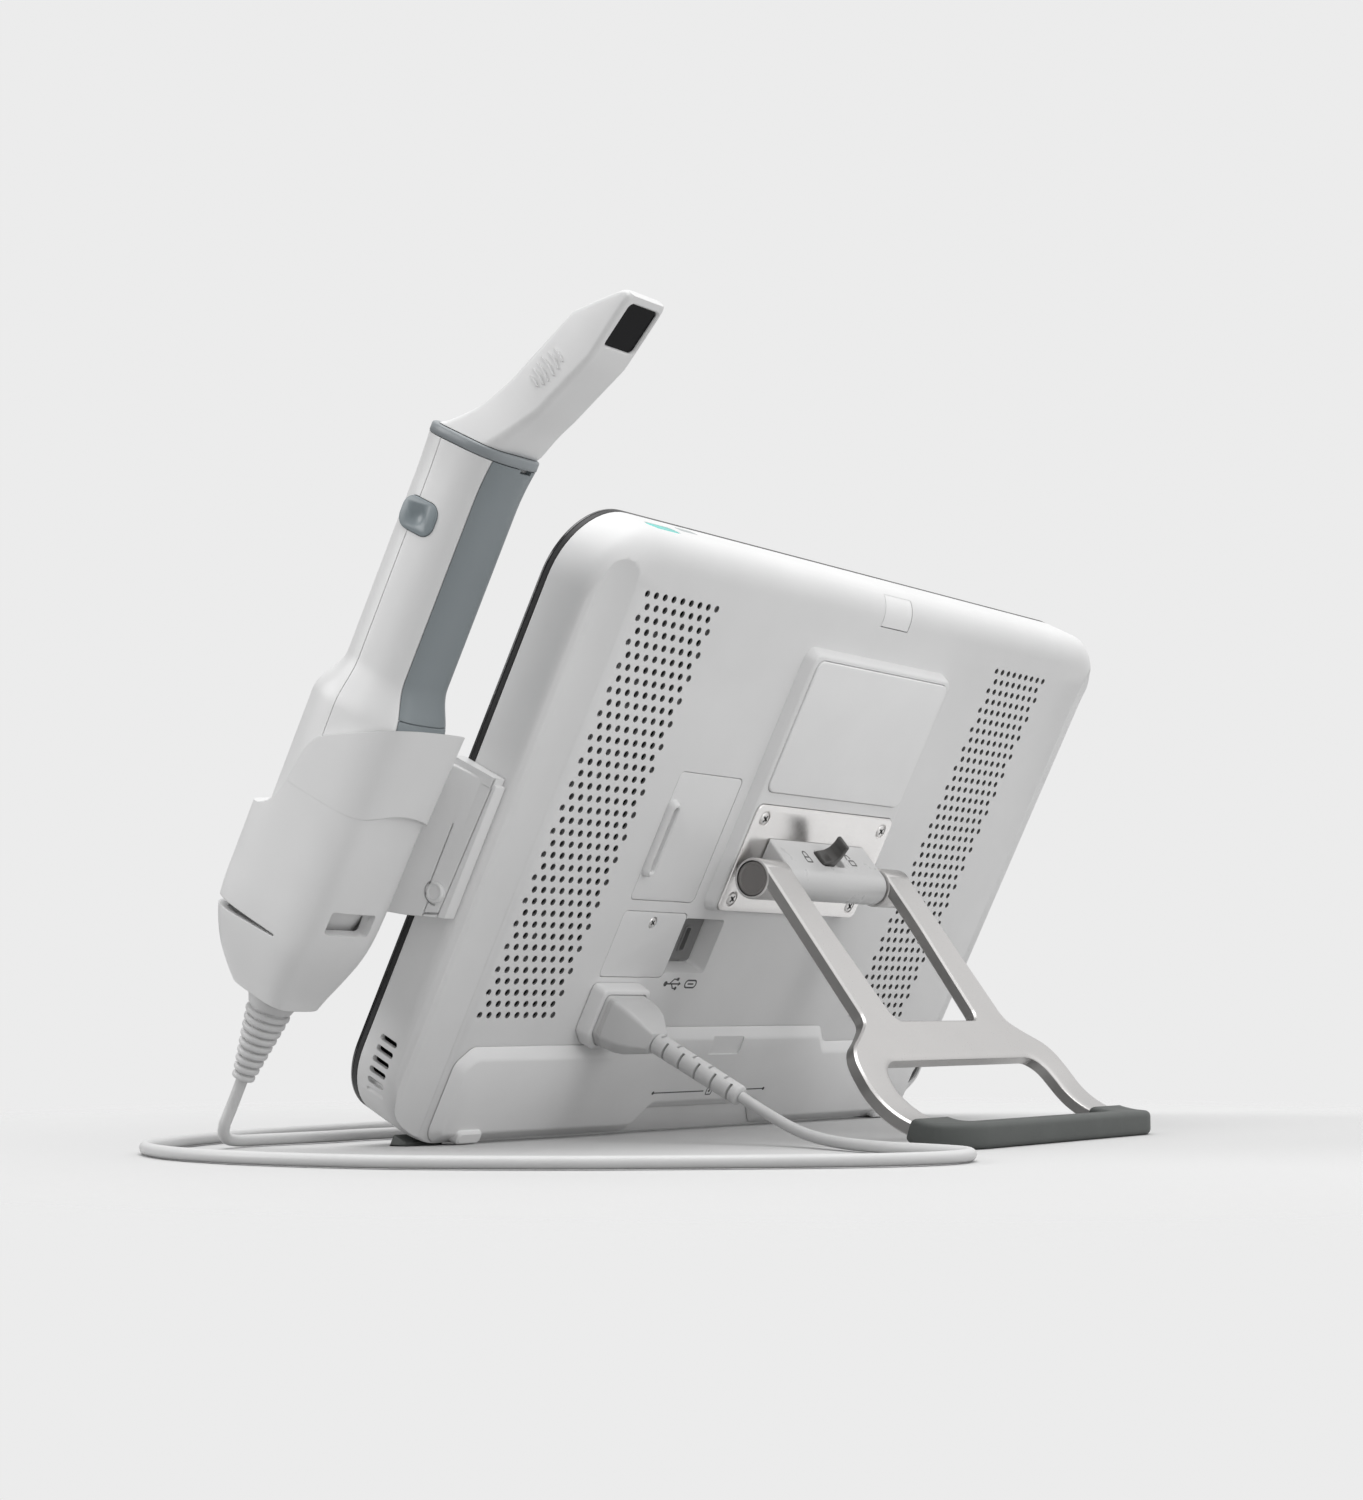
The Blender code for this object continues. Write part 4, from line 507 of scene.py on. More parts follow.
def cord_route():
    floor = CORD_R + GAP
    route = [leaned(WAND_X, WAND_DEPTH, RELIEF_LOW - GAP), leaned(WAND_X, WAND_DEPTH, RELIEF_LOW - 14.0)]
    route += [(260.8, -50.5, 9.6), (256.8, -53.8, 4.8), (247.5, -56.0, 3.0)]
    route += [(x, y, floor) for x, y in ON_TABLE]
    route += [(119.0, 160.0, floor + 0.6), (108.5, 136.0, 6.4)]
    return route + [leaned(SOCKET_X + 0.2, PLUG_END + 16.0, PLUG_Z), leaned(SOCKET_X, PLUG_END + GAP * 2, PLUG_Z)]


def even_steps(fine, count):
    """Points at equal distances along a fine line, and its length."""
    lengths = [0.0]
    for p, q in zip(fine, fine[1:]):
        lengths.append(lengths[-1] + (q - p).length)
    points = []
    at = 0
    for k in range(count):
        target = lengths[-1] * k / (count - 1)
        while at < len(fine) - 2 and lengths[at + 1] < target:
            at += 1
        points.append(fine[at].lerp(fine[at + 1], (target - lengths[at]) / (lengths[at + 1] - lengths[at])))
    return points, lengths[-1]


def make_cord():
    points, length = even_steps([Vector(point) for point in curve_through(cord_route(), 12)], 400)
    curve = bpy.data.curves.new("cord_sheath", "CURVE")
    curve.dimensions = "3D"
    curve.bevel_depth = CORD_R * MM
    curve.bevel_resolution = 6
    curve.use_fill_caps = True
    spline = curve.splines.new("POLY")
    spline.points.add(len(points) - 1)
    for target, point in zip(spline.points, points):
        target.co = (*(TABLE @ point), 1.0)
    spline.use_smooth = True
    item = put("cord_sheath", curve)
    curve.materials.append(M["cord"])
    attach(item, "unit")
    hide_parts("wand_cable")


make_cord()


# Display unit

HALF_WIDTH = 220.0
HEIGHT = 280.0
WALL = 2.6
SCOOP = ((0.0, -8.0), (3.8, -5.6), (8.5, -6.4), (13.5, -5.0), (18.0, -2.4), (21.5, 0.0))
SCOOP_TOP = 275.0
SCOOP_NOSE = 32.0
BOSS_RISE = 5.4
PAD_TOP = 6.3
SCREWS = ((51.4, 165.3), (-51.4, 165.3), (51.4, 124.9), (-51.4, 124.9))
DOOR_X = (70.9, 119.1)
DOOR_Z = (119.1, 180.6)
PORT_COVER_Z = (81.2, 113.4)
PORT_X = (39.7, 70.3)
PORT_Z = (83.8, 111.3)
BUTTON_X = 177.7
BUTTON_DEPTH = -15.0
INLET = (-206.0, 24.0)
HOLE_FIELDS = (190.7, -107.5)
HOLE_TOP = 254.4
HOLE_STEP = (6.25, 5.34)
HOLE_R = 1.55


def housing_outline(edge, steps=14):
    half = HALF_WIDTH - edge
    return rounded((-half, half), (edge * 0.1, HEIGHT - edge), max(33.0 - edge, 8.0), steps)


def scoop_cutter(side):
    profile = curve_through(SCOOP, 5)
    rings = []
    levels = [-BEYOND, SCOOP_TOP - SCOOP_NOSE]
    levels += [SCOOP_TOP - SCOOP_NOSE + SCOOP_NOSE * math.sin(math.radians(5.0 * k)) for k in range(1, 17)]
    for z in levels:
        share = max(0.0, (z - SCOOP_TOP + SCOOP_NOSE) / SCOOP_NOSE)
        fade = math.sqrt(max(0.0, 1.0 - share * share))
        far = SCOOP[-1][0] * (0.55 + 0.45 * fade)
        ring = [(HALF_WIDTH + 6.0, 6.0), (HALF_WIDTH + 6.0, SCOOP[0][1] - 3.0 + (1 - fade) * 10.0)]
        ring += [(HALF_WIDTH - inward * far / SCOOP[-1][0], depth * fade + (1 - fade)) for inward, depth in profile]
        ring.append((HALF_WIDTH - far, 6.0))
        rings.append([(side * x, depth, z) for x, depth in ring])
    return loft(rings)


def air_holes():
    """Round holes in rows of nine and eight, on both fields."""
    bm = bmesh.new()
    for left in HOLE_FIELDS:
        for row in range(37):
            for k in range(9 - row % 2):
                centre = (left - (row % 2) * HOLE_STEP[0] / 2 - k * HOLE_STEP[0], HOLE_TOP - row * HOLE_STEP[1])
                ring = circle(centre, HOLE_R, 14)
                low = [bm.verts.new(Vector((u, -WALL - 1.0, v))) for u, v in ring]
                high = [bm.verts.new(Vector((u, 1.0, v))) for u, v in ring]
                skin(bm, low, high)
                bm.faces.new(low)
                bm.faces.new(high)
    return solid(bm)


def seat(xs, zs, radius, low, high):
    return prism([rounded(grown(xs, GAP), grown(zs, GAP), radius)], low, high)


def rear_housing():
    levels = [(-28.5, [housing_outline(0.0)])]
    for k in range(11):
        turn = math.radians(9.0 * k)
        levels.append((-12.0 + 12.0 * math.sin(turn), [housing_outline(14.0 * (1.0 - math.cos(turn)))]))
    shell = layered(levels)
    cut(shell, scoop_cutter(1), scoop_cutter(-1))
    wide = rounded((-HALF_WIDTH + WALL, HALF_WIDTH - WALL), (WALL, HEIGHT - WALL), 30.0)
    deep_half = HALF_WIDTH - SCOOP[-1][0] - WALL
    deep = rounded((-deep_half, deep_half), (WALL * 2, HEIGHT - 14.0 - WALL), 30.0)
    cut(shell, layered([(-60.0, [wide]), (-9.6, [wide]), (-9.6, [deep]), (-WALL, [deep])]))
    low = rounded((-63.2, 63.2), (116.0, 247.5), 7.0)
    pad = layered([(-1.0, [low]), (0.0, [low]), (BOSS_RISE - 0.9, [inset(low, 1.9)]),
                   (BOSS_RISE - 0.25, [inset(low, 2.5)]), (BOSS_RISE, [inset(low, 3.3)])])
    join(shell, pad,
         box((DOOR_X[0] - 2.6, DOOR_X[1] + 2.6), (-15.6, -2.3), (DOOR_Z[0] - 2.6, DOOR_Z[1] + 2.6)),
         box((PORT_X[0] - 2.6, DOOR_X[1] + 2.6), (-13.1, -2.3), (PORT_COVER_Z[0] - 2.6, PORT_COVER_Z[1] + 2.6)),
         box((BUTTON_X - 12.8, BUTTON_X + 12.8), (BUTTON_DEPTH - 6.2, BUTTON_DEPTH + 6.2),
             (HEIGHT - 9.0, HEIGHT - 1.6)),
         turned([(-19.6, 11.6), (-8.0, 11.6)], depth_axis(*INLET)))
    mouth = rounded((PORT_X[0], PORT_X[1] + 1.0), PORT_Z, 2.0)
    floor = rounded((PORT_X[0] + 3.0, PORT_X[1] + 1.0), (PORT_Z[0] + 2.0, PORT_Z[1] - 1.0), 2.0)
    tools = [
        seat(DOOR_X, DOOR_Z, 3.0, -2.3, 1.0),
        box((DOOR_X[0] + 3.0, DOOR_X[1] - 3.0), (-13.0, 0.0), (DOOR_Z[0] + 3.0, DOOR_Z[1] - 3.0)),
        seat(DOOR_X, PORT_COVER_Z, 3.0, -2.3, 1.0),
        layered([(-10.5, [floor]), (0.0, [mouth]), (1.0, [mouth])]),
        box((-186.3, 186.3), (-50.0, 30.0), (15.2, 38.7)),
        seat((-58.2, 58.2), (178.3, 243.0), 5.0, 3.8, 40.0),
        seat((-59.3, 59.3), (118.6, 172.0), 4.0, 3.8, 40.0),
        button_shape(GAP, 3.5, BEYOND, 0.0),
        turned([(-17.0, 9.0), (30.0, 9.0)], depth_axis(*INLET)),
        insert_shape(GAP, 3.0, 0.0),
    ]
    for k in range(6):
        z = 41.4 - k * 4.9
        tools.append(prism([rounded((-22.0, -12.2), (z - 1.3, z + 1.3), 1.29)], HALF_WIDTH - 4.6, HALF_WIDTH + 1.0,
                           side_view))
    for left in HOLE_FIELDS:
        tools.append(box((left - 52.0, left - 0.6), (-WALL - 2.0, -1.1), (60.6, 256.0)))
    cut(shell, *tools, air_holes())
    # Painted shade: the walls of the air holes get the darker port finish.
    shaded_hole_walls = [-0.8 < face.center.y < -0.3 and abs(face.normal.y) < 0.3 and face.area < 6.0
                  and 60.0 < face.center.z < 257.0 and 105.0 < abs(face.center.x) < 193.0
                  for face in shell.data.polygons]
    place_piece(shell, "shell_back", "white", ["rear_housing"], sharp=38.0)
    second_finish(shell, "port", shaded_hole_walls)


def button_shape(spare, deep, above, edge):
    outline = rounded((BUTTON_X - 10.2 - spare, BUTTON_X + 10.2 + spare),
                      (BUTTON_DEPTH - 3.6 - spare, BUTTON_DEPTH + 3.6 + spare), 3.59 + spare, 10)
    return soft_prism(outline, HEIGHT - deep, HEIGHT + above, 0.0, edge, plan_view)


def insert_shape(spare, out, edge):
    outer = []
    inner = []
    for k in range(12):
        turn = math.radians(min(90.0, 35.0 + 5.5 * k))
        depth = -12.0 * (1.0 - math.sin(turn))
        z = HEIGHT - 14.0 * (1.0 - math.cos(turn)) - (2.6 + spare if k == 11 else 0.0)
        normal = Vector((math.sin(turn) / 12.0, math.cos(turn) / 14.0)).normalized()
        outer.append((depth + normal.x * out, z + normal.y * out))
        inner.append((depth - normal.x * (1.6 + spare), z - normal.y * (1.6 + spare)))
    return prism([outer + inner[::-1]], -12.0 - spare, 12.0 + spare, side_view)


def front_pieces():
    outline = housing_outline(0.0, 20)
    glass = soft_prism(outline, -33.0, -31.4, 0.9, 0.0)
    place_piece(glass, "front_glass", "glass", ["display_glass"])
    window = rounded((-203.0, 203.0), (17.0, 263.0), 3.0)
    rim = layered([(-31.1, [outline, window]), (-28.8, [outline, window])])
    place_piece(rim, "front_rim", "bezel", ["front_bezel"])


def pack_outline():
    right = [(52.0, 2.15), (191.0, 2.15), (195.0, 7.15), (195.0, 39.4), (187.0, 47.4), (90.5, 47.4), (82.0, 56.2)]
    return [(42.0, 13.5)] + right + mirrored(right) + [(-42.0, 13.5)]


def battery():
    rims = ((GAP, 0.0), (3.2, 3.9), (3.75, 4.8), (4.0, 5.8))
    lid = layered([(depth, [smooth_loop(inset(pack_outline(), edge), 3.0)]) for depth, edge in rims])
    join(lid, box((-186.0, 186.0), (-20.0, 2.0), (15.5, 38.4)))
    label = prism([rounded((-11.6, 14.0), (42.9, 52.8), 1.0)], 3.2, BEYOND)
    cut(lid, label)
    for side in (1, -1):
        xs = sorted((side * 163.6, side * 181.0))
        nub = layered([(1.0, [rounded(xs, (2.4, 9.6), 2.4)]),
                       (5.2, [rounded((xs[0] + 0.8, xs[1] - 0.8), (3.0, 9.0), 2.2)]),
                       (6.0, [rounded((xs[0] + 1.8, xs[1] - 1.8), (4.0, 8.0), 1.6)])])
        join(lid, nub)
    # Painted light: the lid takes the lighter cover finish to lift the shade it lies in.
    place_piece(lid, "pack_lid", "cover", ["battery_pack"], sharp=30.0)


def service_door():
    leaf = soft_prism(rounded(DOOR_X, DOOR_Z, 2.7), -2.0, 0.0, 0.0, 0.35)
    base = rounded((112.2, 118.9), (130.5, 167.5), 3.3, 12)
    swell = layered([(-1.0, [base]), (0.0, [base]), (1.6, [inset(base, 0.35)]), (2.7, [inset(base, 0.9)]),
                     (3.2, [inset(base, 1.5)])])
    join(leaf, swell)
    slot = rounded((114.1, 117.1), (133.5, 164.5), 1.45, 8)
    cut(leaf, layered([(0.4, [slot]), (2.6, [slot]), (3.4, [inset(slot, -0.7)]), (6.0, [inset(slot, -0.7)])]))
    place_piece(leaf, "door_leaf", "white", ["service_door"], "service_door")


def ports():
    cover = soft_prism(rounded(DOOR_X, PORT_COVER_Z, 2.7), -2.0, 0.0, 0.0, 0.35)
    cut(cover, turned([(-1.4, 2.9), (1.0, 2.9)], depth_axis(95.0, 108.2)))
    place_piece(cover, "socket_cover", "white", ["port_cover"])
    screw("cover_screw", (95.0, 108.2), -1.1, 2.6, 1.2, ["port_cover_screw"])
    block = soft_prism(rounded((43.3, 69.7), (86.4, 109.7), 1.5), -10.2, -8.2, 0.0, 0.3)
    for x, tall in ((63.5, 14.0), (53.5, 11.5)):
        ring = rounded((x - 2.6, x + 2.6), (97.5 - tall / 2 - 0.9, 97.5 + tall / 2 + 0.9), 1.6)
        join(block, soft_prism(ring, -9.0, -7.6, 0.0, 0.3))
        slot = rounded((x - 1.7, x + 1.7), (97.5 - tall / 2, 97.5 + tall / 2), 1.0)
        cut(block, prism([slot], -9.9, BEYOND))
    place_piece(block, "port_face", "port", ["port_block"])


def screw(name, place, low, head_r, head, nodes):
    """Domed head with a tapered cross recess; its inside gets the dark finish as painted shade."""
    profile = [(low - 2.0, head_r * 0.66), (low, head_r * 0.66), (low, head_r * 0.97), (low + head * 0.2, head_r)]
    for k in range(1, 7):
        turn = math.radians(15.0 * k)
        profile.append((low + head * (0.2 + 0.8 * math.sin(turn)), head_r * (0.35 + 0.65 * math.cos(turn))))
    item = turned(profile, depth_axis(*place), 40)
    x, z = place
    arm = head_r * 0.60
    thin = head_r * 0.15
    cross = [(-thin, -arm), (thin, -arm), (thin, -thin), (arm, -thin), (arm, thin), (thin, thin), (thin, arm),
             (-thin, arm), (-thin, thin), (-arm, thin), (-arm, -thin), (-thin, -thin)]
    turn = math.radians(35.0)
    outline = [(x + a * math.cos(turn) - b * math.sin(turn), z + a * math.sin(turn) + b * math.cos(turn))
               for a, b in cross]
    cut(item, prism([outline], low - 1.7, low + head + BEYOND))
    # Painted shade: faces inside the cross recess get the dark finish.
    inside = [math.hypot(face.center.x - x, face.center.z - z) < head_r * 0.62 and face.center.y < low + head * 0.55
              for face in item.data.polygons]
    place_piece(item, name, "steel", nodes)
    second_finish(item, "dark", inside)


def pad_pieces():
    cover = soft_prism(rounded((-58.2, 58.2), (178.3, 243.0), 4.7), 4.1, PAD_TOP, 0.0, 0.7)
    place_piece(cover, "square_cover", "cover", ["mount_cover"])
    plate = soft_prism(rounded((-59.3, 59.3), (118.6, 172.0), 3.7), 4.1, PAD_TOP, 0.0, 0.45)
    cut(plate, *[turned([(3.0, 2.4), (PAD_TOP - 0.7, 2.4), (PAD_TOP - 0.7, 3.8), (9.0, 3.8)], depth_axis(*place), 40)
                 for place in SCREWS])
    place_piece(plate, "plate_face", "plate", ["hinge_plate"])
    for k, place in enumerate(SCREWS, 1):
        screw("plate_screw_%d" % k, place, PAD_TOP - 0.6, 3.2, 1.0, ["hinge_screw_%d" % k])


def fittings():
    place_piece(button_shape(0.0, 2.4, 0.0, 0.6), "button_lens", "teal", ["power_button"], "power_button")
    place_piece(insert_shape(-0.15, -0.1, 0.0), "edge_insert", "cover", ["top_insert"])
    profile = [(-16.7, 8.7), (-7.0, 8.7), (-6.7, 8.4), (-6.6, 7.9), (-6.8, 7.2), (-7.4, 6.8), (-14.7, 6.1),
               (-14.7, 1.3),
               (-9.2, 1.3), (-8.6, 1.0), (-8.3, 0.5)]
    place_piece(turned(profile, depth_axis(*INLET)), "inlet_cup", "dark", ["dc_inlet"])
    slope = math.tan(LEAN)
    for name, node, side in (("pad_left", "base_foot_left", 1), ("pad_right", "base_foot_right", -1)):
        outline = [(-12.0, -GAP), (-12.0, -12.0 * slope), (-4.0, -4.0 * slope), (-4.0, -GAP)]
        outline = smooth_loop(ordered(outline), [1.2, 0.3, 0.3, 1.2])
        ends = sorted((side * 176.0, side * 200.0))
        place_piece(soft_prism(outline, ends[0], ends[1], 0.5, 0.5, side_view), name, "rubber", [node])


# Socket and plug

def socket_outline(grow):
    half = 18.3 + grow
    low = 47.9 - grow
    high = 79.0 + grow
    chamfer = 7.0 + grow * 0.4
    left = SOCKET_X - half
    right = SOCKET_X + half
    corners = [(left + chamfer, low), (right - chamfer, low), (right, low + chamfer), (right, high), (left, high),
               (left, low + chamfer)]
    return smooth_loop(corners, [1.5, 1.5, 1.5, 3.2, 3.2, 1.5])


def socket_and_plug():
    hole = socket_outline(-3.0)
    rims = ((GAP, -0.6), (6.6, -0.9), (7.2, -1.2), (7.5, -1.7))
    ring = layered([(depth, [socket_outline(grow), hole]) for depth, grow in rims])
    join(ring, prism([socket_outline(-2.0)], 0.4, 1.4))
    place_piece(ring, "socket_ring", "white", ["wand_socket"])
    shape = socket_outline(-3.4)
    levels = []
    for depth, scale in ((1.8, 1.0), (7.6, 1.0), (8.4, 0.985), (8.9, 0.965), (9.4, 0.985), (9.9, 0.965),
                         (10.4, 0.985), (10.9, 0.965), (11.4, 0.98), (17.0, 0.93), (21.5, 0.82), (25.5, 0.66),
                         (28.8, 0.50), (31.2, 0.40), (31.4, 0.37)):
        levels.append((depth, [[(SOCKET_X + (u - SOCKET_X) * scale, PLUG_Z + (v - PLUG_Z) * scale) for u, v in shape]]))
    place_piece(layered(levels), "plug_body", "plug", ["wand_plug"], sharp=22.0)
    start, end = 31.6, 81.3
    profile = [(start, 4.3), (start + 0.5, 4.9), (end - 1.2, 4.6), (end - 0.5, 4.3), (end, 3.5)]
    item = turned(profile, depth_axis(SOCKET_X, PLUG_Z), 48)
    slots = []
    for k in range(5):
        at = start + 7.4 + 9.4 * k
        for side in (1, -1):
            slots.append(box(sorted((SOCKET_X + side * 1.4, SOCKET_X + side * 7.0)), (at - 0.6, at + 0.6),
                             (PLUG_Z - 3.6, PLUG_Z + 3.6)))
            slots.append(box((SOCKET_X - 2.6, SOCKET_X + 2.6), (at - 5.3, at - 4.1),
                             sorted((PLUG_Z + side * 2.6, PLUG_Z + side * 7.0))))
    cut(item, together(*slots))
    place_piece(item, "plug_relief", "relief", ["plug_strain_relief"], sharp=40.0)


# Folding stand, in the frame of its hinge: X, then along the legs, then across them

LEG_OUTER = 63.5
LEG_INNER = 42.7
RAIL_OUTER = 94.6
LEG_THICK = 6.0
EYE_R = 9.4
FOOT_RADIUS = 48.0
FOOT_HEIGHT = 11.0
FOOT_CORNER = 19.0
BARREL_R = 8.6
BARREL_TILT = math.radians(23.6)


def stand_values():
    tilt = math.radians(90.0) - STAND_OPEN + LEAN
    hinge_height = -math.sin(LEAN) * HINGE_DEPTH + math.cos(LEAN) * HINGE_Z
    leg_mid = EYE_R - LEG_THICK / 2
    drop = hinge_height + leg_mid * math.cos(tilt) - FOOT_HEIGHT / 2 - FOOT_RADIUS * (1.0 - math.cos(tilt))
    return tilt, leg_mid, drop / math.sin(tilt)


def bend(item):
    """Bends a flat blank round the arc of the foot."""
    tilt, leg_mid, straight = stand_values()
    arc = FOOT_RADIUS * tilt
    bm = bmesh.new()
    bm.from_mesh(item.data)
    for k in range(25):
        at = straight + arc * k / 24
        bmesh.ops.bisect_plane(bm, geom=bm.verts[:] + bm.edges[:] + bm.faces[:], plane_co=(0, at, 0),
                               plane_no=(0, 1, 0), dist=1e-4)
    for vert in bm.verts:
        along = vert.co.y
        across = vert.co.z
        if along <= straight:
            vert.co.z = leg_mid + across
            continue
        turn = min((along - straight) / FOOT_RADIUS, tilt)
        rest = max(0.0, along - straight - arc)
        radius = FOOT_RADIUS - across
        vert.co.y = straight + radius * math.sin(turn) + rest * math.cos(turn)
        vert.co.z = leg_mid + FOOT_RADIUS - radius * math.cos(turn) + rest * math.sin(turn)
    bm.to_mesh(item.data)
    bm.free()
    return item


def rim_levels(outer, hole, half, edge, hole_edge, steps=4, flat=False, behind=1.0):
    """Levels of a plate with soft rims; the outline moves in, round or flat, and the hole moves out."""
    rows = []
    turns = [math.radians(90.0 * k / steps) for k in range(steps + 1)]
    for t in turns:
        rows.append((-half + behind * edge * (1 - math.cos(t)), behind * (1 - math.sin(t)), behind * math.cos(t)))
    for t in turns:
        rows.append((half - edge * (1 - math.sin(t)), 1 - math.cos(t), math.sin(t)))
    out = []
    for height, share, slant in rows:
        rim = slant if flat else share
        loops = [inset(outer, edge * rim) if rim > 1e-6 else list(outer)]
        if hole is not None:
            loops.append(inset(hole, -hole_edge * share) if share > 1e-6 else list(hole))
        out.append((height, loops))
    return out


def kickstand():
    tilt, leg_mid, straight = stand_values()
    end = straight + FOOT_RADIUS * tilt + 8.0
    right = [(LEG_OUTER, 0.0), (LEG_OUTER, 86.5), (LEG_OUTER + 11.5, 94.0), (RAIL_OUTER - 8.0, 100.0),
             (RAIL_OUTER - 2.4, 107.0),
             (RAIL_OUTER, 118.0), (RAIL_OUTER, end - FOOT_CORNER)]
    corner = [(RAIL_OUTER - FOOT_CORNER * (1 - math.cos(math.radians(a))),
               end - FOOT_CORNER * (1 - math.sin(math.radians(a)))) for a in range(9, 91, 9)]
    half_loop = ([(LEG_OUTER, 0.0)] + smooth_loop(right, [0.01, 5.0, 5.0, 5.0, 5.0, 6.0, 0.01], 5)[6:-6]
                 + [(RAIL_OUTER, end - FOOT_CORNER)] + corner)
    gap_half = [(35.0, 86.5), (38.5, 82.5), (LEG_INNER, 28.0), (LEG_INNER, 0.0)]
    inside = smooth_loop(mirrored(gap_half) + gap_half, [0.01, 8.0, 3.0, 3.0, 3.0, 3.0, 8.0, 0.01], 5)
    outline = thinned(ordered(half_loop + mirrored(half_loop) + inside))
    half = 70.5
    low = end - 11.0
    window = [(half - 6.0, 108.5), (half + 2.0, 113.5), (half + 4.5, 122.5), (half + 3.0, low - 22.0),
              (half + 0.5, low - 9.0),
              (half - 4.0, low - 2.5), (half - 10.0, low)]
    window = smooth_loop(ordered([(-x, a) for x, a in window] + window[::-1]), 6.0, 6)
    blank = layered(rim_levels(outline, window, LEG_THICK / 2, 1.0, 3.4, 4, True, 0.5), plan_view)
    # The side walls of the legs are picked out for the darker metal, which is painted shade.
    for key in ("satin", "flank"):
        blank.data.materials.append(M[key])
    for face in blank.data.polygons:
        face.material_index = int(abs(face.normal.z) < 0.3 and abs(face.normal.x) > 0.35)
    bend(blank)
    for side in (1, -1):
        ends = sorted((side * (LEG_INNER - 0.25), side * (LEG_OUTER + 0.25)))
        profile = [(ends[0], EYE_R - 0.7), (ends[0] + 0.3, EYE_R - 0.2), (ends[0] + 0.8, EYE_R), (ends[1] - 0.8, EYE_R),
                   (ends[1] - 0.3, EYE_R - 0.2), (ends[1], EYE_R - 0.7)]
        join(blank, turned(profile, across_axis(0.0, 0.0), 62))
    seats = [turned([(side * 61.0, 8.2), (side * 90.0, 8.2)], across_axis(0.0, 0.0), 60) for side in (1, -1)]
    cut(blank, turned([(-90.0, 4.3), (90.0, 4.3)], across_axis(0.0, 0.0), 40), *seats)
    # Painted shade: the leg side walls get the darker metal.
    shaded_flanks = [face.material_index == 1 for face in blank.data.polygons]
    place_piece(blank, "stand_forging", "satin", ["kickstand"], "stand", STAND, 28.0)
    second_finish(blank, "flank", shaded_flanks)

    start = end - 24.0
    grow = 2.4
    outer = [(RAIL_OUTER + grow, start), (RAIL_OUTER + grow, end - FOOT_CORNER)]
    outer += [(x + grow * math.cos(math.radians(9 * (k + 1))), a + grow * math.sin(math.radians(9 * (k + 1))))
              for k, (x, a) in enumerate(corner)]
    arms = low - grow
    width = half - grow
    hollow = smooth_loop([(width, start - 0.01), (width, arms), (-width, arms), (-width, start - 0.01)],
                         [0.01, 8.0, 8.0, 0.01], 8)
    loop = ordered(thinned(outer + mirrored(outer) + hollow[::-1]))
    foot = bend(layered(rim_levels(loop, None, FOOT_HEIGHT / 2, 2.6, 0.0, 5), plan_view))
    place_piece(foot, "foot_rubber", "rubber", ["foot_sleeve"], "stand", STAND, 40.0)


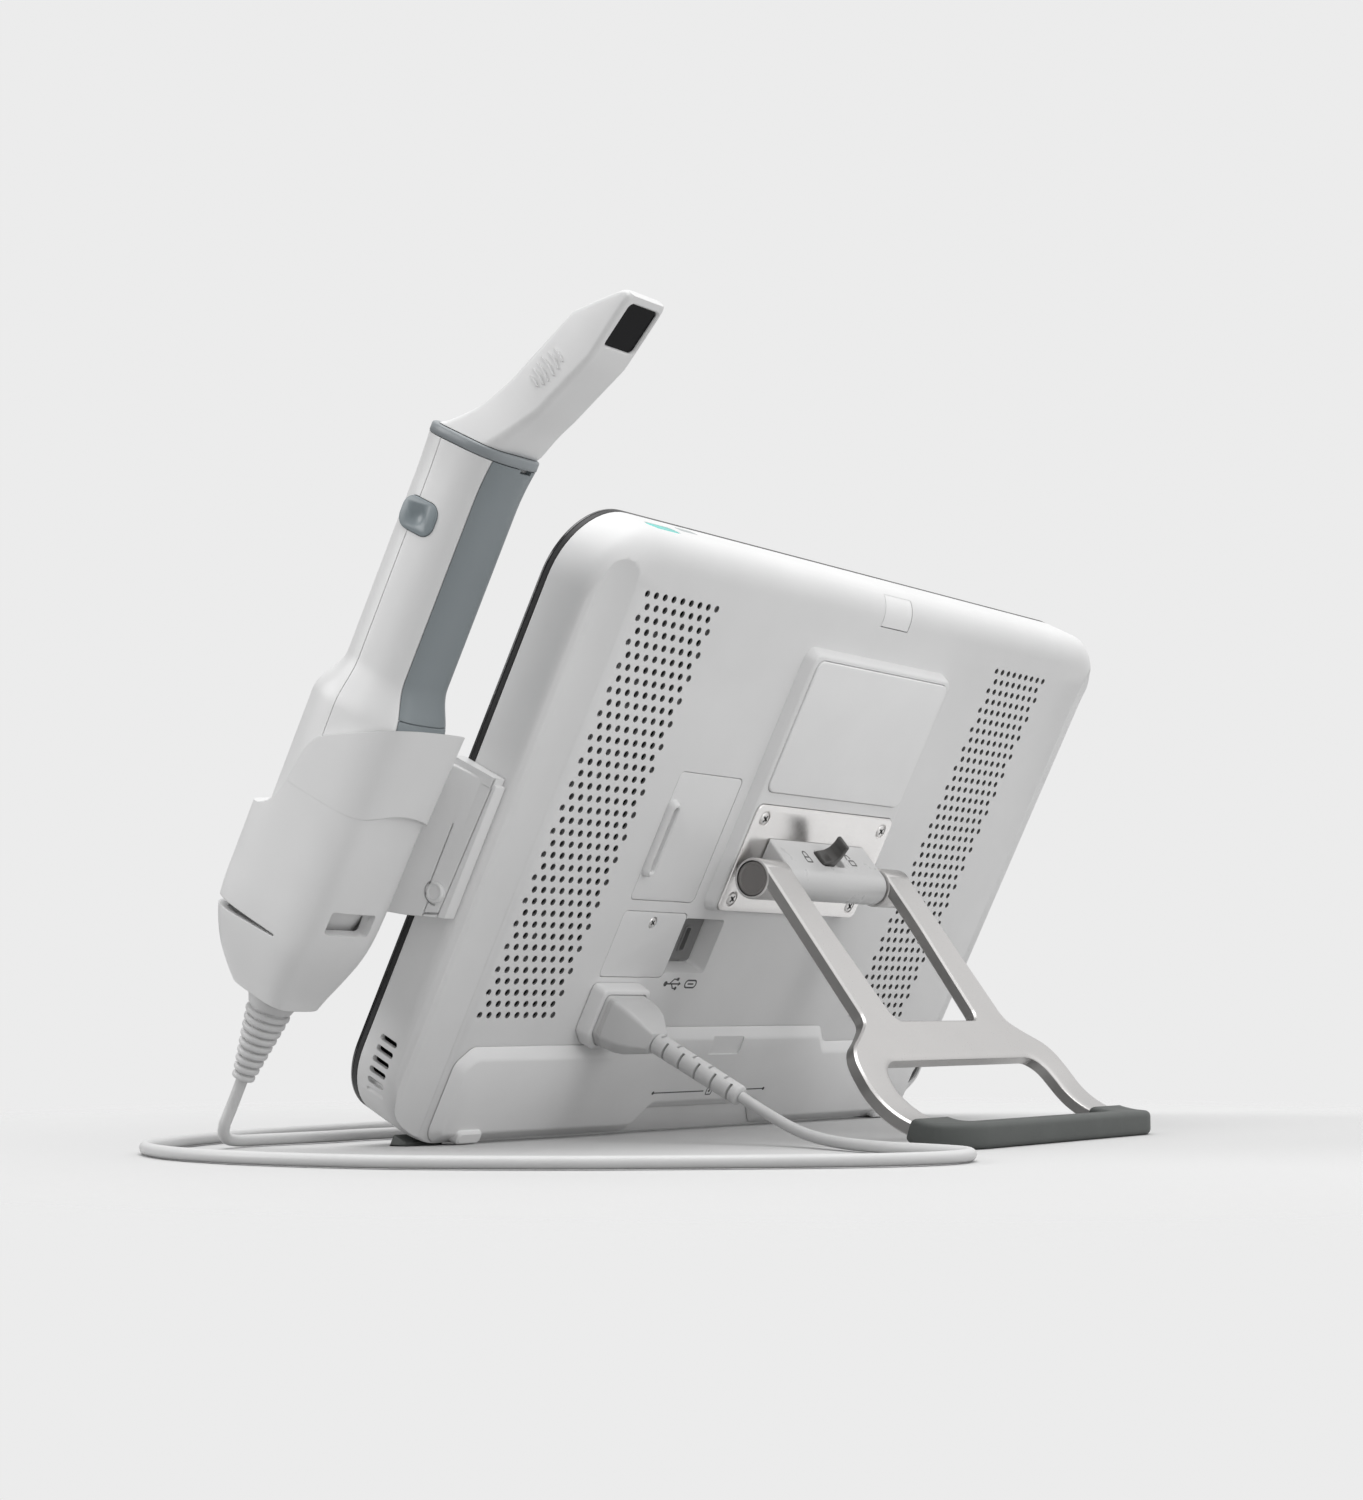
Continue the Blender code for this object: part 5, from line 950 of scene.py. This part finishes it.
def hinge_pieces():
    seat_depth = PAD_TOP + GAP
    tangent = math.radians(90.0) - BARREL_TILT
    top = (HINGE_DEPTH + BARREL_R * math.cos(tangent), HINGE_Z + BARREL_R * math.sin(tangent))
    rise = (top[0] - seat_depth) * math.tan(BARREL_TILT)
    start = math.radians(-90.0)
    outline = [(seat_depth, top[1] + rise), (seat_depth, HINGE_Z - BARREL_R)]
    outline += [(HINGE_DEPTH + BARREL_R * math.cos(start + (tangent - start) * k / 28),
                 HINGE_Z + BARREL_R * math.sin(start + (tangent - start) * k / 28)) for k in range(29)]
    barrel = soft_prism(ordered(outline), -42.0, 42.0, 2.2, 1.2, side_view, 5)
    depth = (top[0] + seat_depth) / 2 + 1.0
    middle = Vector((depth, top[1] + (top[0] - depth) * math.tan(BARREL_TILT)))
    along = Vector((math.cos(BARREL_TILT), -math.sin(BARREL_TILT)))
    out = Vector((math.sin(BARREL_TILT), math.cos(BARREL_TILT)))

    def on_flat(x, down, lift):
        point = middle + along * down + out * lift
        return (x, point.x, point.y)

    slot = rounded((-10.4, 10.4), (-4.4, 4.4), 2.4)
    cut(barrel, layered([(-3.5, [slot]), (-0.5, [slot]), (0.05, [inset(slot, -0.5)]), (10.0, [inset(slot, -0.5)])],
                        on_flat))
    place_piece(barrel, "barrel_body", "barrel", ["hinge_barrel"])

    under = [(9.4, -3.2), (-1.6, -3.2)]
    back = [(-1.9, 0.2), (-1.7, 4.0), (-0.7, 8.0), (0.8, 12.4)]
    front = [(3.4, 12.0), (2.0, 8.0), (2.0, 5.0), (4.2, 2.6), (9.4, 1.4)]
    shape = ordered(smooth_loop(under + back + front, 1.0, 4))
    lever = soft_prism(shape, -3.8, 3.8, 0.6, 0.6, lambda u, v, h: on_flat(u, h, v))
    place_piece(lever, "lever_body", "lever", ["lock_lever"], "lock_lever")

    for name, node, side in (("cap_left", "hinge_cap_left", 1), ("cap_right", "hinge_cap_right", -1)):
        base = 61.3
        profile = [(base, 7.9), (63.0, 7.9), (63.3, 7.75), (63.5, 7.4), (63.5, 6.6), (63.25, 6.3), (63.25, 0.6)]
        cap = turned([(side * a, r) for a, r in profile], across_axis(0.0, 0.0), 60)
        place_piece(cap, name, "cap", [node], "stand", STAND)

    marks = []
    for x, shift, bow_end in ((19.5, 0.0, -0.6), (-19.5, 1.4, -1.4)):
        body = rounded((x - 2.6, x + 2.6), (-0.6, 3.2), 0.8, 4)
        hole = rounded((x - 1.85, x + 1.85), (0.15, 2.45), 0.4, 4)
        marks.append(prism([body, hole[::-1]], -0.2, 0.06, on_flat))
        bow = [(x + shift + 1.7 * math.cos(math.radians(a)), -1.8 - 1.9 * math.sin(math.radians(a)))
               for a in range(0, 181, 20)]
        bow = [(x + shift + 1.7, -0.6)] + bow + [(x + shift - 1.7, bow_end)]
        marks.append(band(bow, 0.75, -0.2, 0.06, on_flat))
    place_piece(together(*marks), "lock_marks", "ink", [])


# Wand and its cradle

WAND_TOP = 285.7
HIP_TOP = 171.0
NECK_LOW = 192.0
SLEEVE_LOW = WAND_TOP + 4.8


def wand_levels():
    """Section sizes up the wand: height, half width, reach to the front, reach to the back."""
    levels = []
    for k in range(9):
        share = 1.0 - k / 8
        levels.append((WAND_TOP - 18.7 * (1 - share), 17.5 + 0.7 * share ** 2, 21.0 + 0.4 * share ** 2,
                       19.6 + 1.8 * share ** 2))
    for k in range(15):
        share = 0.5 - 0.5 * math.cos(math.pi * k / 14)
        levels.append((NECK_LOW + (HIP_TOP - NECK_LOW) * k / 14, 17.5 + 3.7 * share, 21.0 + 9.6 * share,
                       19.6 + 6.4 * share))
    levels += [(104.0, 21.2, 30.6, 26.0), (84.0, 17.8, 25.7, 19.2), (66.0, 12.7, 18.4, 10.9), (50.0, 8.5, 8.5, 8.5)]
    return levels


def wand_loft(less=0.0):
    return loft([[(x, y, z) for x, y in egg(AXIS, half - less, front - less, back - less)]
                 for z, half, front, back in wand_levels()])


def strip_slab(depth, low, spare=0.0):
    """Space behind the back face of the wand, following it at a set distance."""
    rings = []
    far = WAND_DEPTH + 60.0
    for z, half, front, back in [(WAND_TOP + BEYOND, 0, 0, 21.4)] + wand_levels():
        if z < NECK_LOW - 40.0:
            continue
        y = WAND_DEPTH + back - depth
        rings.append([(WAND_X - 30.0, y, z), (WAND_X + 30.0, y, z), (WAND_X + 30.0, far, z), (WAND_X - 30.0, far, z)])
    y = WAND_DEPTH + 26.0 - depth
    rings.append([(WAND_X - 30.0, y, low), (WAND_X + 30.0, y, low), (WAND_X + 30.0, far, low),
                  (WAND_X - 30.0, far, low)])
    return loft(rings)


def button_blank(side, spare, inner, outer, edge):
    depth = WAND_DEPTH - 4.0
    outline = rounded((depth - 9.5 - spare, depth + 9.5 + spare), (254.0 - 6.8 - spare, 254.0 + 6.8 + spare),
                      5.2 + spare, 10)
    ends = sorted((WAND_X + side * inner, WAND_X + side * outer))
    rims = (0.0, edge) if side > 0 else (edge, 0.0)
    return soft_prism(outline, ends[0], ends[1], rims[0], rims[1], side_view)


def wand_body():
    split = WAND_DEPTH - 7.0
    wide = (WAND_X - 60.0, WAND_X + 60.0)
    tall = (20.0, 320.0)
    front = wand_loft()
    keep(front, box(wide, (split - 90.0, split - GAP / 2), tall))
    cut(front, *[button_blank(s, 0.25, 14.0, 40.0, 0.0) for s in (1, -1)])
    place_piece(front, "shell_front", "wand_white", ["wand_shell_front"], sharp=40.0)
    back = wand_loft()
    keep(back, box(wide, (split + GAP / 2, split + 90.0), tall))
    cut(back, strip_slab(3.5, 165.7), *[button_blank(s, 0.25, 14.0, 40.0, 0.0) for s in (1, -1)])
    place_piece(back, "shell_rear", "wand_white", ["wand_shell_back"], sharp=40.0)
    strip = wand_loft()
    keep(strip, strip_slab(3.2, 166.0))
    notch = box((WAND_X - 8.0, WAND_X - 1.0), (WAND_DEPTH + 18.0, WAND_DEPTH + 40.0), (WAND_TOP - 1.5, WAND_TOP + 5.0))
    seam = box(wide, (WAND_DEPTH, WAND_DEPTH + 60.0), (177.0, 177.45))
    cut(seam, wand_loft(0.6))
    cut(strip, notch, seam)
    place_piece(strip, "strip_face", "slate", ["grip_strip"], sharp=40.0)
    for name, node, side in (("press_left", "side_button_left", 1), ("press_right", "side_button_right", -1)):
        button = button_blank(side, 0.0, 15.1, 18.2, 0.5)
        profile = [(side * 16.9, 0.4), (side * 17.15, 2.0), (side * 17.6, 3.4), (side * 18.3, 4.6), (side * 25.0, 5.4)]
        cut(button, turned([(WAND_X + a, r) for a, r in profile], across_axis(WAND_DEPTH - 4.0, 254.0), 40))
        place_piece(button, name, "slate_button", [node], node)
    outer = egg(AXIS, 18.4, 21.6, 21.6)
    bore = egg(AXIS, 13.0, 16.1, 16.1)
    low = WAND_TOP + GAP
    ring = layered([(low, [inset(outer, 0.3), bore]), (low + 0.3, [outer, bore]), (low + 3.3, [outer, bore]),
                    (low + 3.9, [inset(outer, 0.25), bore]), (low + 4.2, [inset(outer, 0.8), bore])], plan_view)
    place_piece(ring, "collar_band", "ring", ["collar_ring"], sharp=50.0)


# Sleeve stations: front point and back point as (depth, height above the collar), half width, corner radius
SLEEVE = (((-66.5, 0.0), (-31.5, 0.0), 16.0, 7.4), ((-61.0, 3.2), (-29.8, 2.4), 15.4, 6.6),
          ((-50.0, 13.2), (-25.2, 11.4), 13.2, 4.2), ((-40.4, 27.3), (-19.8, 20.2), 11.9, 2.8),
          ((-23.5, 60.6), (-6.6, 46.2), 11.9, 2.4), ((-14.5, 67.8), (-2.9, 59.7), 12.1, 2.4),
          ((-5.4, 74.6), (0.3, 71.5), 11.9, 2.4), ((-2.6, 76.0), (1.1, 74.6), 10.3, 1.7))


def sleeve_rings():
    rows = [(*front, *back, half, corner) for front, back, half, corner in SLEEVE]
    dense = curve_through(rows[:4], 7)
    dense += [tuple(p + (q - p) * k / 6 for p, q in zip(rows[3], rows[4])) for k in range(1, 6)]
    dense += [rows[4]] + curve_through(rows[5:], 4)
    rings = []
    for front_y, front_z, back_y, back_z, half, corner in dense:
        long = math.hypot(back_y - front_y, back_z - front_z)
        corner = min(corner, long * 0.49)
        rings.append([(WAND_X + u, front_y + (back_y - front_y) * v / long,
                       SLEEVE_LOW + front_z + (back_z - front_z) * v / long)
                      for u, v in rounded((-half, half), (0.0, long), corner, 7)])
    return rings


def sleeve():
    body = loft(sleeve_rings())
    low = Vector(SLEEVE[4][1])
    high = Vector(SLEEVE[6][1])
    up = (high - low).normalized()
    out = Vector((up.y, -up.x))
    middle = (low + high) / 2 + up * 3.4

    def window_view(u, v, h):
        point = middle + up * v + out * h
        return (WAND_X + u, point.x, SLEEVE_LOW + point.y)

    mouth = rounded((-9.6, 8.6), (-9.6, 9.6), 2.2)
    cut(body, layered([(-2.6, [mouth]), (-0.9, [mouth]), (-0.3, [inset(mouth, -0.35)]), (0.6, [inset(mouth, -1.2)]),
                       (BEYOND, [inset(mouth, -1.2)])], window_view))
    ridges = [((-30.6, 321.9), (-27.6, 321.0), (-25.1, 319.2)), ((-30.3, 324.7), (-26.2, 323.4), (-22.8, 320.8)),
              ((-29.9, 327.5), (-25.3, 326.0), (-21.3, 322.8)), ((-28.5, 330.3), (-23.5, 328.5), (-19.7, 325.6)),
              ((-26.5, 332.9), (-22.3, 331.6), (-18.7, 328.6)), ((-24.1, 335.2), (-20.9, 334.0), (-18.3, 331.8))]
    for side in (1, -1):
        for points in ridges:
            line = curve_through(points, 6)
            widths = [0.75 * math.sin(math.pi * (k + 0.6) / (len(line) + 0.2)) ** 0.6 for k in range(len(line))]
            under = [(y - 0.35 * wide, z - wide * 0.9) for (y, z), wide in zip(line, widths)]
            shape = ordered([(y + 0.1, z + 0.1) for y, z in line] + under[::-1])
            join(body, prism([shape], *sorted((WAND_X + side * 9.8, WAND_X + side * 12.8)), side_view))
    place_piece(body, "sleeve_body", "sleeve", ["wand_sleeve"], sharp=26.0)
    pane = prism([inset(mouth, 0.2)], -2.4, -1.3, window_view)
    place_piece(pane, "window_pane", "lens", ["sleeve_window"])


CUP = ((200.0, 24.4, 35.3, 33.7), (170.0, 24.4, 35.3, 31.9), (141.0, 24.4, 35.3, 30.4), (120.0, 24.4, 35.3, 29.7),
       (98.0, 24.4, 35.3, 29.2), (84.0, 24.4, 35.2, 28.2), (73.0, 23.7, 33.8, 25.9), (61.0, 20.6, 28.6, 21.6),
       (53.0, 17.4, 22.4, 18.6), (47.0, 14.6, 16.2, 17.0))


def cup_rings(levels, grow, drop=0.0, lip=None):
    rings = []
    for k, (z, half, front, back) in enumerate(levels):
        z = z - (drop if k == len(levels) - 1 else 0.0)
        ring = []
        for x, y in egg(AXIS, half + grow, front + grow, back + grow, 4.0):
            if lip and y > WAND_DEPTH:
                share = max(0.0, min(1.0, (WAND_X + 23.5 - x) / 26.0))
                y += lip * share * share * (3.0 - 2.0 * share) * ((y - WAND_DEPTH) / (back + grow)) ** 2
            if y > WAND_DEPTH:
                y -= 4.8 * max(0.0, (WAND_X - 6.0 - x) / 18.4) ** 2 * (y - WAND_DEPTH) / (back + grow)
            ring.append((x, y, z))
        rings.append(ring)
    return rings


def cradle():
    levels = curve_through(CUP, 4)
    cup = loft(cup_rings(levels, 0.0))
    upper = loft(cup_rings([level for level in levels if level[0] > 125.0], 0.05, 0.0, 2.4))
    ridge = curve_through([(300.0, 133.0), (284.0, 135.2), (279.0, 136.4), (273.5, 138.6), (268.0, 140.3),
                           (262.0, 140.9), (254.0, 140.2), (247.0, 138.4), (240.0, 135.8), (230.0, 132.0),
                           (200.0, 130.0)], 5)
    above = ordered(ridge + [(200.0, 230.0), (300.0, 230.0)])
    keep(upper, prism([above], WAND_DEPTH - 60.0, WAND_DEPTH + 60.0))
    join(cup, upper)
    inside = [(z, half - 2.8, front - 4.3, back - 2.8 - max(0.0, z - 98.0) * 0.044) for z, half, front, back in levels]
    cut(cup, loft(cup_rings(inside, 0.0, BEYOND)))
    mouth = [(-140.0, 116.5), (-84.0, 119.0), (-76.0, 120.2), (-70.5, 122.8), (-66.6, 127.6), (-64.2, 134.0),
             (-62.8, 141.0), (-61.2, 148.5), (-59.6, 153.0), (-56.6, 157.0), (-52.0, 160.2), (-44.0, 164.2),
             (-15.0, 178.5), (20.0, 195.7),
             (20.0, 240.0), (-140.0, 240.0)]
    cut(cup, prism([mouth], WAND_X - 60.0, WAND_X + 60.0, side_view))
    corner = [(225.0, 166.0), (236.1, 167.0), (236.7, 170.2), (238.6, 172.8), (242.0, 174.6), (243.0, 190.0),
              (225.0, 190.0)]
    cut(cup, prism([corner], WAND_DEPTH + 15.0, WAND_DEPTH + 60.0))
    lining = box((249.5, 277.6), (WAND_DEPTH + 22.4, WAND_DEPTH + 25.9), (83.0, 100.0))
    cut(lining, prism([rounded((254.6, 275.4), (88.2, 96.0), 1.0)], WAND_DEPTH + 25.0, WAND_DEPTH + 40.0))
    join(cup, lining)
    window = rounded((252.6, 276.4), (86.5, 96.4), 1.6)
    cut(cup, prism([window], WAND_DEPTH, WAND_DEPTH + 60.0))
    wedge = prism([[(-100.0, 77.6), (-100.0, 73.2), (-76.0, 74.0), (-62.0, 75.1), (-41.5, 76.5), (-40.5, 77.0),
                    (-41.5, 77.5)]],
                  WAND_X - 60.0, WAND_X + 60.0, side_view)
    cut(wedge, loft(cup_rings(levels, -4.5)))
    cut(cup, wedge)
    place_piece(cup, "cup_shell", "cradle", ["cradle_cup"], sharp=42.0)


def bracket():
    bend_line = curve_through([(232.5, -48.4), (234.6, -46.6), (235.3, -43.5), (235.2, -39.5), (233.9, -35.0),
                               (231.6, -30.0), (229.6, -24.6), (228.3, -19.5), (226.9, -13.0), (225.9, -9.0)], 4)
    outline = [(220.3, -8.6), (220.3, -40.0), (225.6, -45.0), (229.6, -48.2)] + bend_line + [(224.8, -8.6)]
    high = 161.6
    body = soft_prism(ordered(outline), 86.0, high, 0.0, 1.0, plan_view)
    core = smooth_loop([(220.3, -10.0), (220.3, -34.0), (229.0, -34.0), (227.0, -10.0)], 1.0)
    join(body, prism([ordered(core)], high - 2.0, 164.2, plan_view))
    skew = [(0.0, 103.4), (-7.5, 102.4), (-18.0, 98.4), (-26.0, 95.3), (-34.0, 93.0), (-44.0, 91.6), (-60.0, 91.0),
            (-60.0, 60.0), (0.0, 60.0)]
    cut(body, prism([skew[::-1]], 215.0, 250.0, side_view))
    groove = 226.9
    cut(body,
        prism([[(-20.9, 106.5), (-20.35, 106.5), (-20.35, 139.3), (-20.9, 139.3)]], groove, 240.0, side_view),
        prism([[(-12.55, 95.0), (-12.15, 95.0), (-10.0, 170.0), (-10.4, 170.0)]], 224.6, 240.0, side_view),
        band([(-16.7 + 5.1 * math.cos(math.radians(a)), 109.9 + 5.1 * math.sin(math.radians(a)))
                    for a in range(140, 291, 10)], 0.6, groove - 0.6, 240.0, side_view),
        band([(-18.6, 90.0), (-18.4, 105.2)], 0.5, groove - 1.0, 240.0, side_view),
        band([(-18.6, 99.6), (-12.4, 102.4)], 0.8, groove - 1.0, 240.0, side_view))
    profile = [(222.0, 4.3), (228.5, 4.3), (228.9, 4.0), (229.0, 3.6), (228.9, 3.2), (228.5, 2.9), (228.4, 0.4)]
    join(body, turned(profile, across_axis(-16.7, 109.9), 48))
    place_piece(body, "bracket_body", "cradle", ["cradle_bracket"], sharp=30.0)


def wand_relief():
    big, small = 9.5, 4.9
    profile = [(49.4, 9.8), (49.0, 10.4), (48.4, 10.6), (44.2, 10.6), (43.4, 10.3), (40.9, 9.4), (40.4, 8.9)]
    rings = 9
    pitch = (40.2 - 7.5) / rings
    for k in range(rings):
        z = 40.2 - k * pitch
        r = big + (small - big) * k / (rings - 1)
        core = r - 1.7
        for share, drop in ((0.04, 1.7), (0.22, 1.7), (0.25, 0.9), (0.31, 0.35), (0.42, 0.06), (0.60, 0.0),
                        (0.78, 0.06), (0.89, 0.35), (0.95, 0.9)):
            profile.append((z - pitch * share, r - drop))
    profile.append((7.5, small - 1.6))
    item = turned(profile, up_axis(*AXIS), 48)
    place_piece(item, "relief_rings", "relief", ["wand_strain_relief"], sharp=60.0)


# Printed marks

def marks():
    def line(points, width, lift=0.0):
        return band(points, width, lift - 0.3, lift + 0.05, back_view)

    def patch(loops, lift=0.0):
        return prism(loops, lift - 0.3, lift + 0.05)

    # three-armed connector sign and capsule sign below the port pocket
    capsule = rounded((41.6, 51.1), (75.9, 80.4), 2.2, 8)
    parts = [line([(65.6, 78.1), (55.6, 78.1)], 0.75), line([(63.1, 78.1), (60.7, 80.5), (58.5, 80.5)], 0.7),
             line([(61.5, 78.1), (59.5, 75.8), (57.7, 75.8)], 0.7), patch([circle((66.3, 78.1), 1.35, 20)]),
             patch([[(54.2, 78.1), (56.1, 79.2), (56.1, 77.0)]]), patch([rounded((56.8, 58.6), (79.7, 81.3), 0.3, 2)]),
             patch([circle((57.3, 75.8), 0.95, 16)]), patch([capsule, inset(capsule, 0.8)[::-1]]),
             patch([rounded((44.0, 48.7), (77.75, 78.55), 0.39, 3)])]
    place_piece(together(*parts), "port_marks", "ink", [])
    # charge sign on the battery, between two lines with round ends
    rise = 4.0
    body = rounded((-2.1, 2.9), (21.0, 25.4), 0.8, 4)
    parts = [line([(46.6, 23.2), (5.2, 23.2)], 0.6, rise), line([(-4.4, 23.2), (-47.0, 23.2)], 0.6, rise),
             patch([circle((46.6, 23.2), 0.9, 16)], rise), patch([circle((-47.0, 23.2), 0.9, 16)], rise),
             patch([body, inset(body, 0.6)[::-1]], rise), patch([circle((0.4, 23.2), 0.8, 16)], rise)]
    place_piece(together(*parts), "pack_marks", "ink", [])
    pale = prism([rounded((146.0, 158.5), (-24.0, -19.5), 1.0, 4)], HEIGHT - 0.3, HEIGHT + 0.05, plan_view)
    place_piece(pale, "top_mark", "pale_ink", [])


for make in (rear_housing, front_pieces, battery, service_door, ports, pad_pieces, fittings, socket_and_plug,
             kickstand, hinge_pieces, wand_body, sleeve, cradle, bracket, wand_relief, marks):
    make()


# Stage and light

FLOOR_TONE = 0.63
FLOOR_TONE_IN_BOUNCES = 0.38
BACKDROP = (0.838, 0.838, 0.838, 1.0)
WORLD_BASE = 0.07
# Direction, cosine where the glow starts, strength
GLOWS = (((0.0, 0.0, 1.0), 0.0, 0.42), ((0.0, 0.98, 0.15), 0.0, 0.85), ((-0.75, -0.15, 0.62), 0.3, 0.55))
PAD_LAMP = Vector((-0.05, 1.25, 0.20))
PAD_AIM = Vector((-0.04, 0.06, 0.13))


def make_stage():
    """Pale floor that fades into the backdrop for the camera and throws back less light than it shows."""
    bm = bmesh.new()
    bmesh.ops.create_circle(bm, cap_ends=True, segments=64, radius=0.9)
    floor = as_object(bm, "floor")
    n = Nodes(bpy.data.materials.new("floor_paper"))
    path = n.node("LightPath")
    n.surface({"Roughness": 0.9, "Specular IOR Level": 0.0,
               "Base Color": n.ramp(path.outputs["Is Diffuse Ray"], 0.0, 1.0, FLOOR_TONE, FLOOR_TONE_IN_BOUNCES)})
    length = n.node("VectorMath", {0: n.place()}, operation="LENGTH").outputs["Value"]
    fade = n.ramp(length, 0.33, 0.58, 0.0, 1.0, interpolation_type="SMOOTHSTEP")
    seen = n.node("Math", {0: fade, 1: path.outputs["Is Camera Ray"]}, operation="MULTIPLY").outputs["Value"]
    clear = n.node("BsdfTransparent").outputs["BSDF"]
    mix = n.node("MixShader", {0: seen, 1: n.shader.outputs["BSDF"], 2: clear}).outputs["Shader"]
    n.feed(n.tree.nodes["Material Output"].inputs["Surface"], mix)
    floor.data.materials.append(n.owner)


def make_world():
    """Glows from above, from behind the back and from one side; the camera sees one even backdrop."""
    world = bpy.data.worlds.new("studio")
    bpy.context.scene.world = world
    n = Nodes(world)
    around = n.node("TexCoord").outputs["Generated"]
    total = WORLD_BASE
    for way, low, level in GLOWS:
        dot = n.node("VectorMath", {0: around, 1: way}, operation="DOT_PRODUCT").outputs["Value"]
        glow = n.ramp(dot, low, 1.0, 0.0, level, interpolation_type="SMOOTHSTEP")
        total = n.node("Math", {0: total, 1: glow}).outputs["Value"]
    background = n.tree.nodes["Background"]
    n.feed(background.inputs["Strength"], total)
    background.inputs["Color"].default_value = (1.0, 1.0, 1.0, 1.0)
    path = n.node("LightPath").outputs
    either = n.node("Math", {0: path["Is Camera Ray"], 1: path["Is Transmission Ray"]}, operation="MAXIMUM")
    backdrop = n.node("Background", {"Color": BACKDROP}).outputs["Background"]
    mix = n.node("MixShader", {0: either.outputs["Value"], 1: background.outputs["Background"], 2: backdrop})
    n.feed(n.tree.nodes["World Output"].inputs["Surface"], mix.outputs["Shader"])


def lamp(name, kind, power, way, **values):
    data = bpy.data.lights.new(name, kind)
    data.energy = power
    for key, value in values.items():
        setattr(data, key, value)
    item = put(name, data)
    item.rotation_euler = Vector(way).to_track_quat("Z", "Y").to_euler()
    return item


make_stage()
make_world()
lamp("top", "SUN", 1.42, (0.10, -0.05, 0.98), angle=math.radians(50.0))
lamp("left", "SUN", 1.02, (0.60, -0.70, 0.40), angle=math.radians(28.0))
lamp("pad", "SPOT", 9.0, PAD_LAMP - PAD_AIM, spot_size=math.radians(26.0), spot_blend=1.0,
     shadow_soft_size=0.25).location = PAD_LAMP

bpy.context.scene.view_settings.view_transform = "Standard"
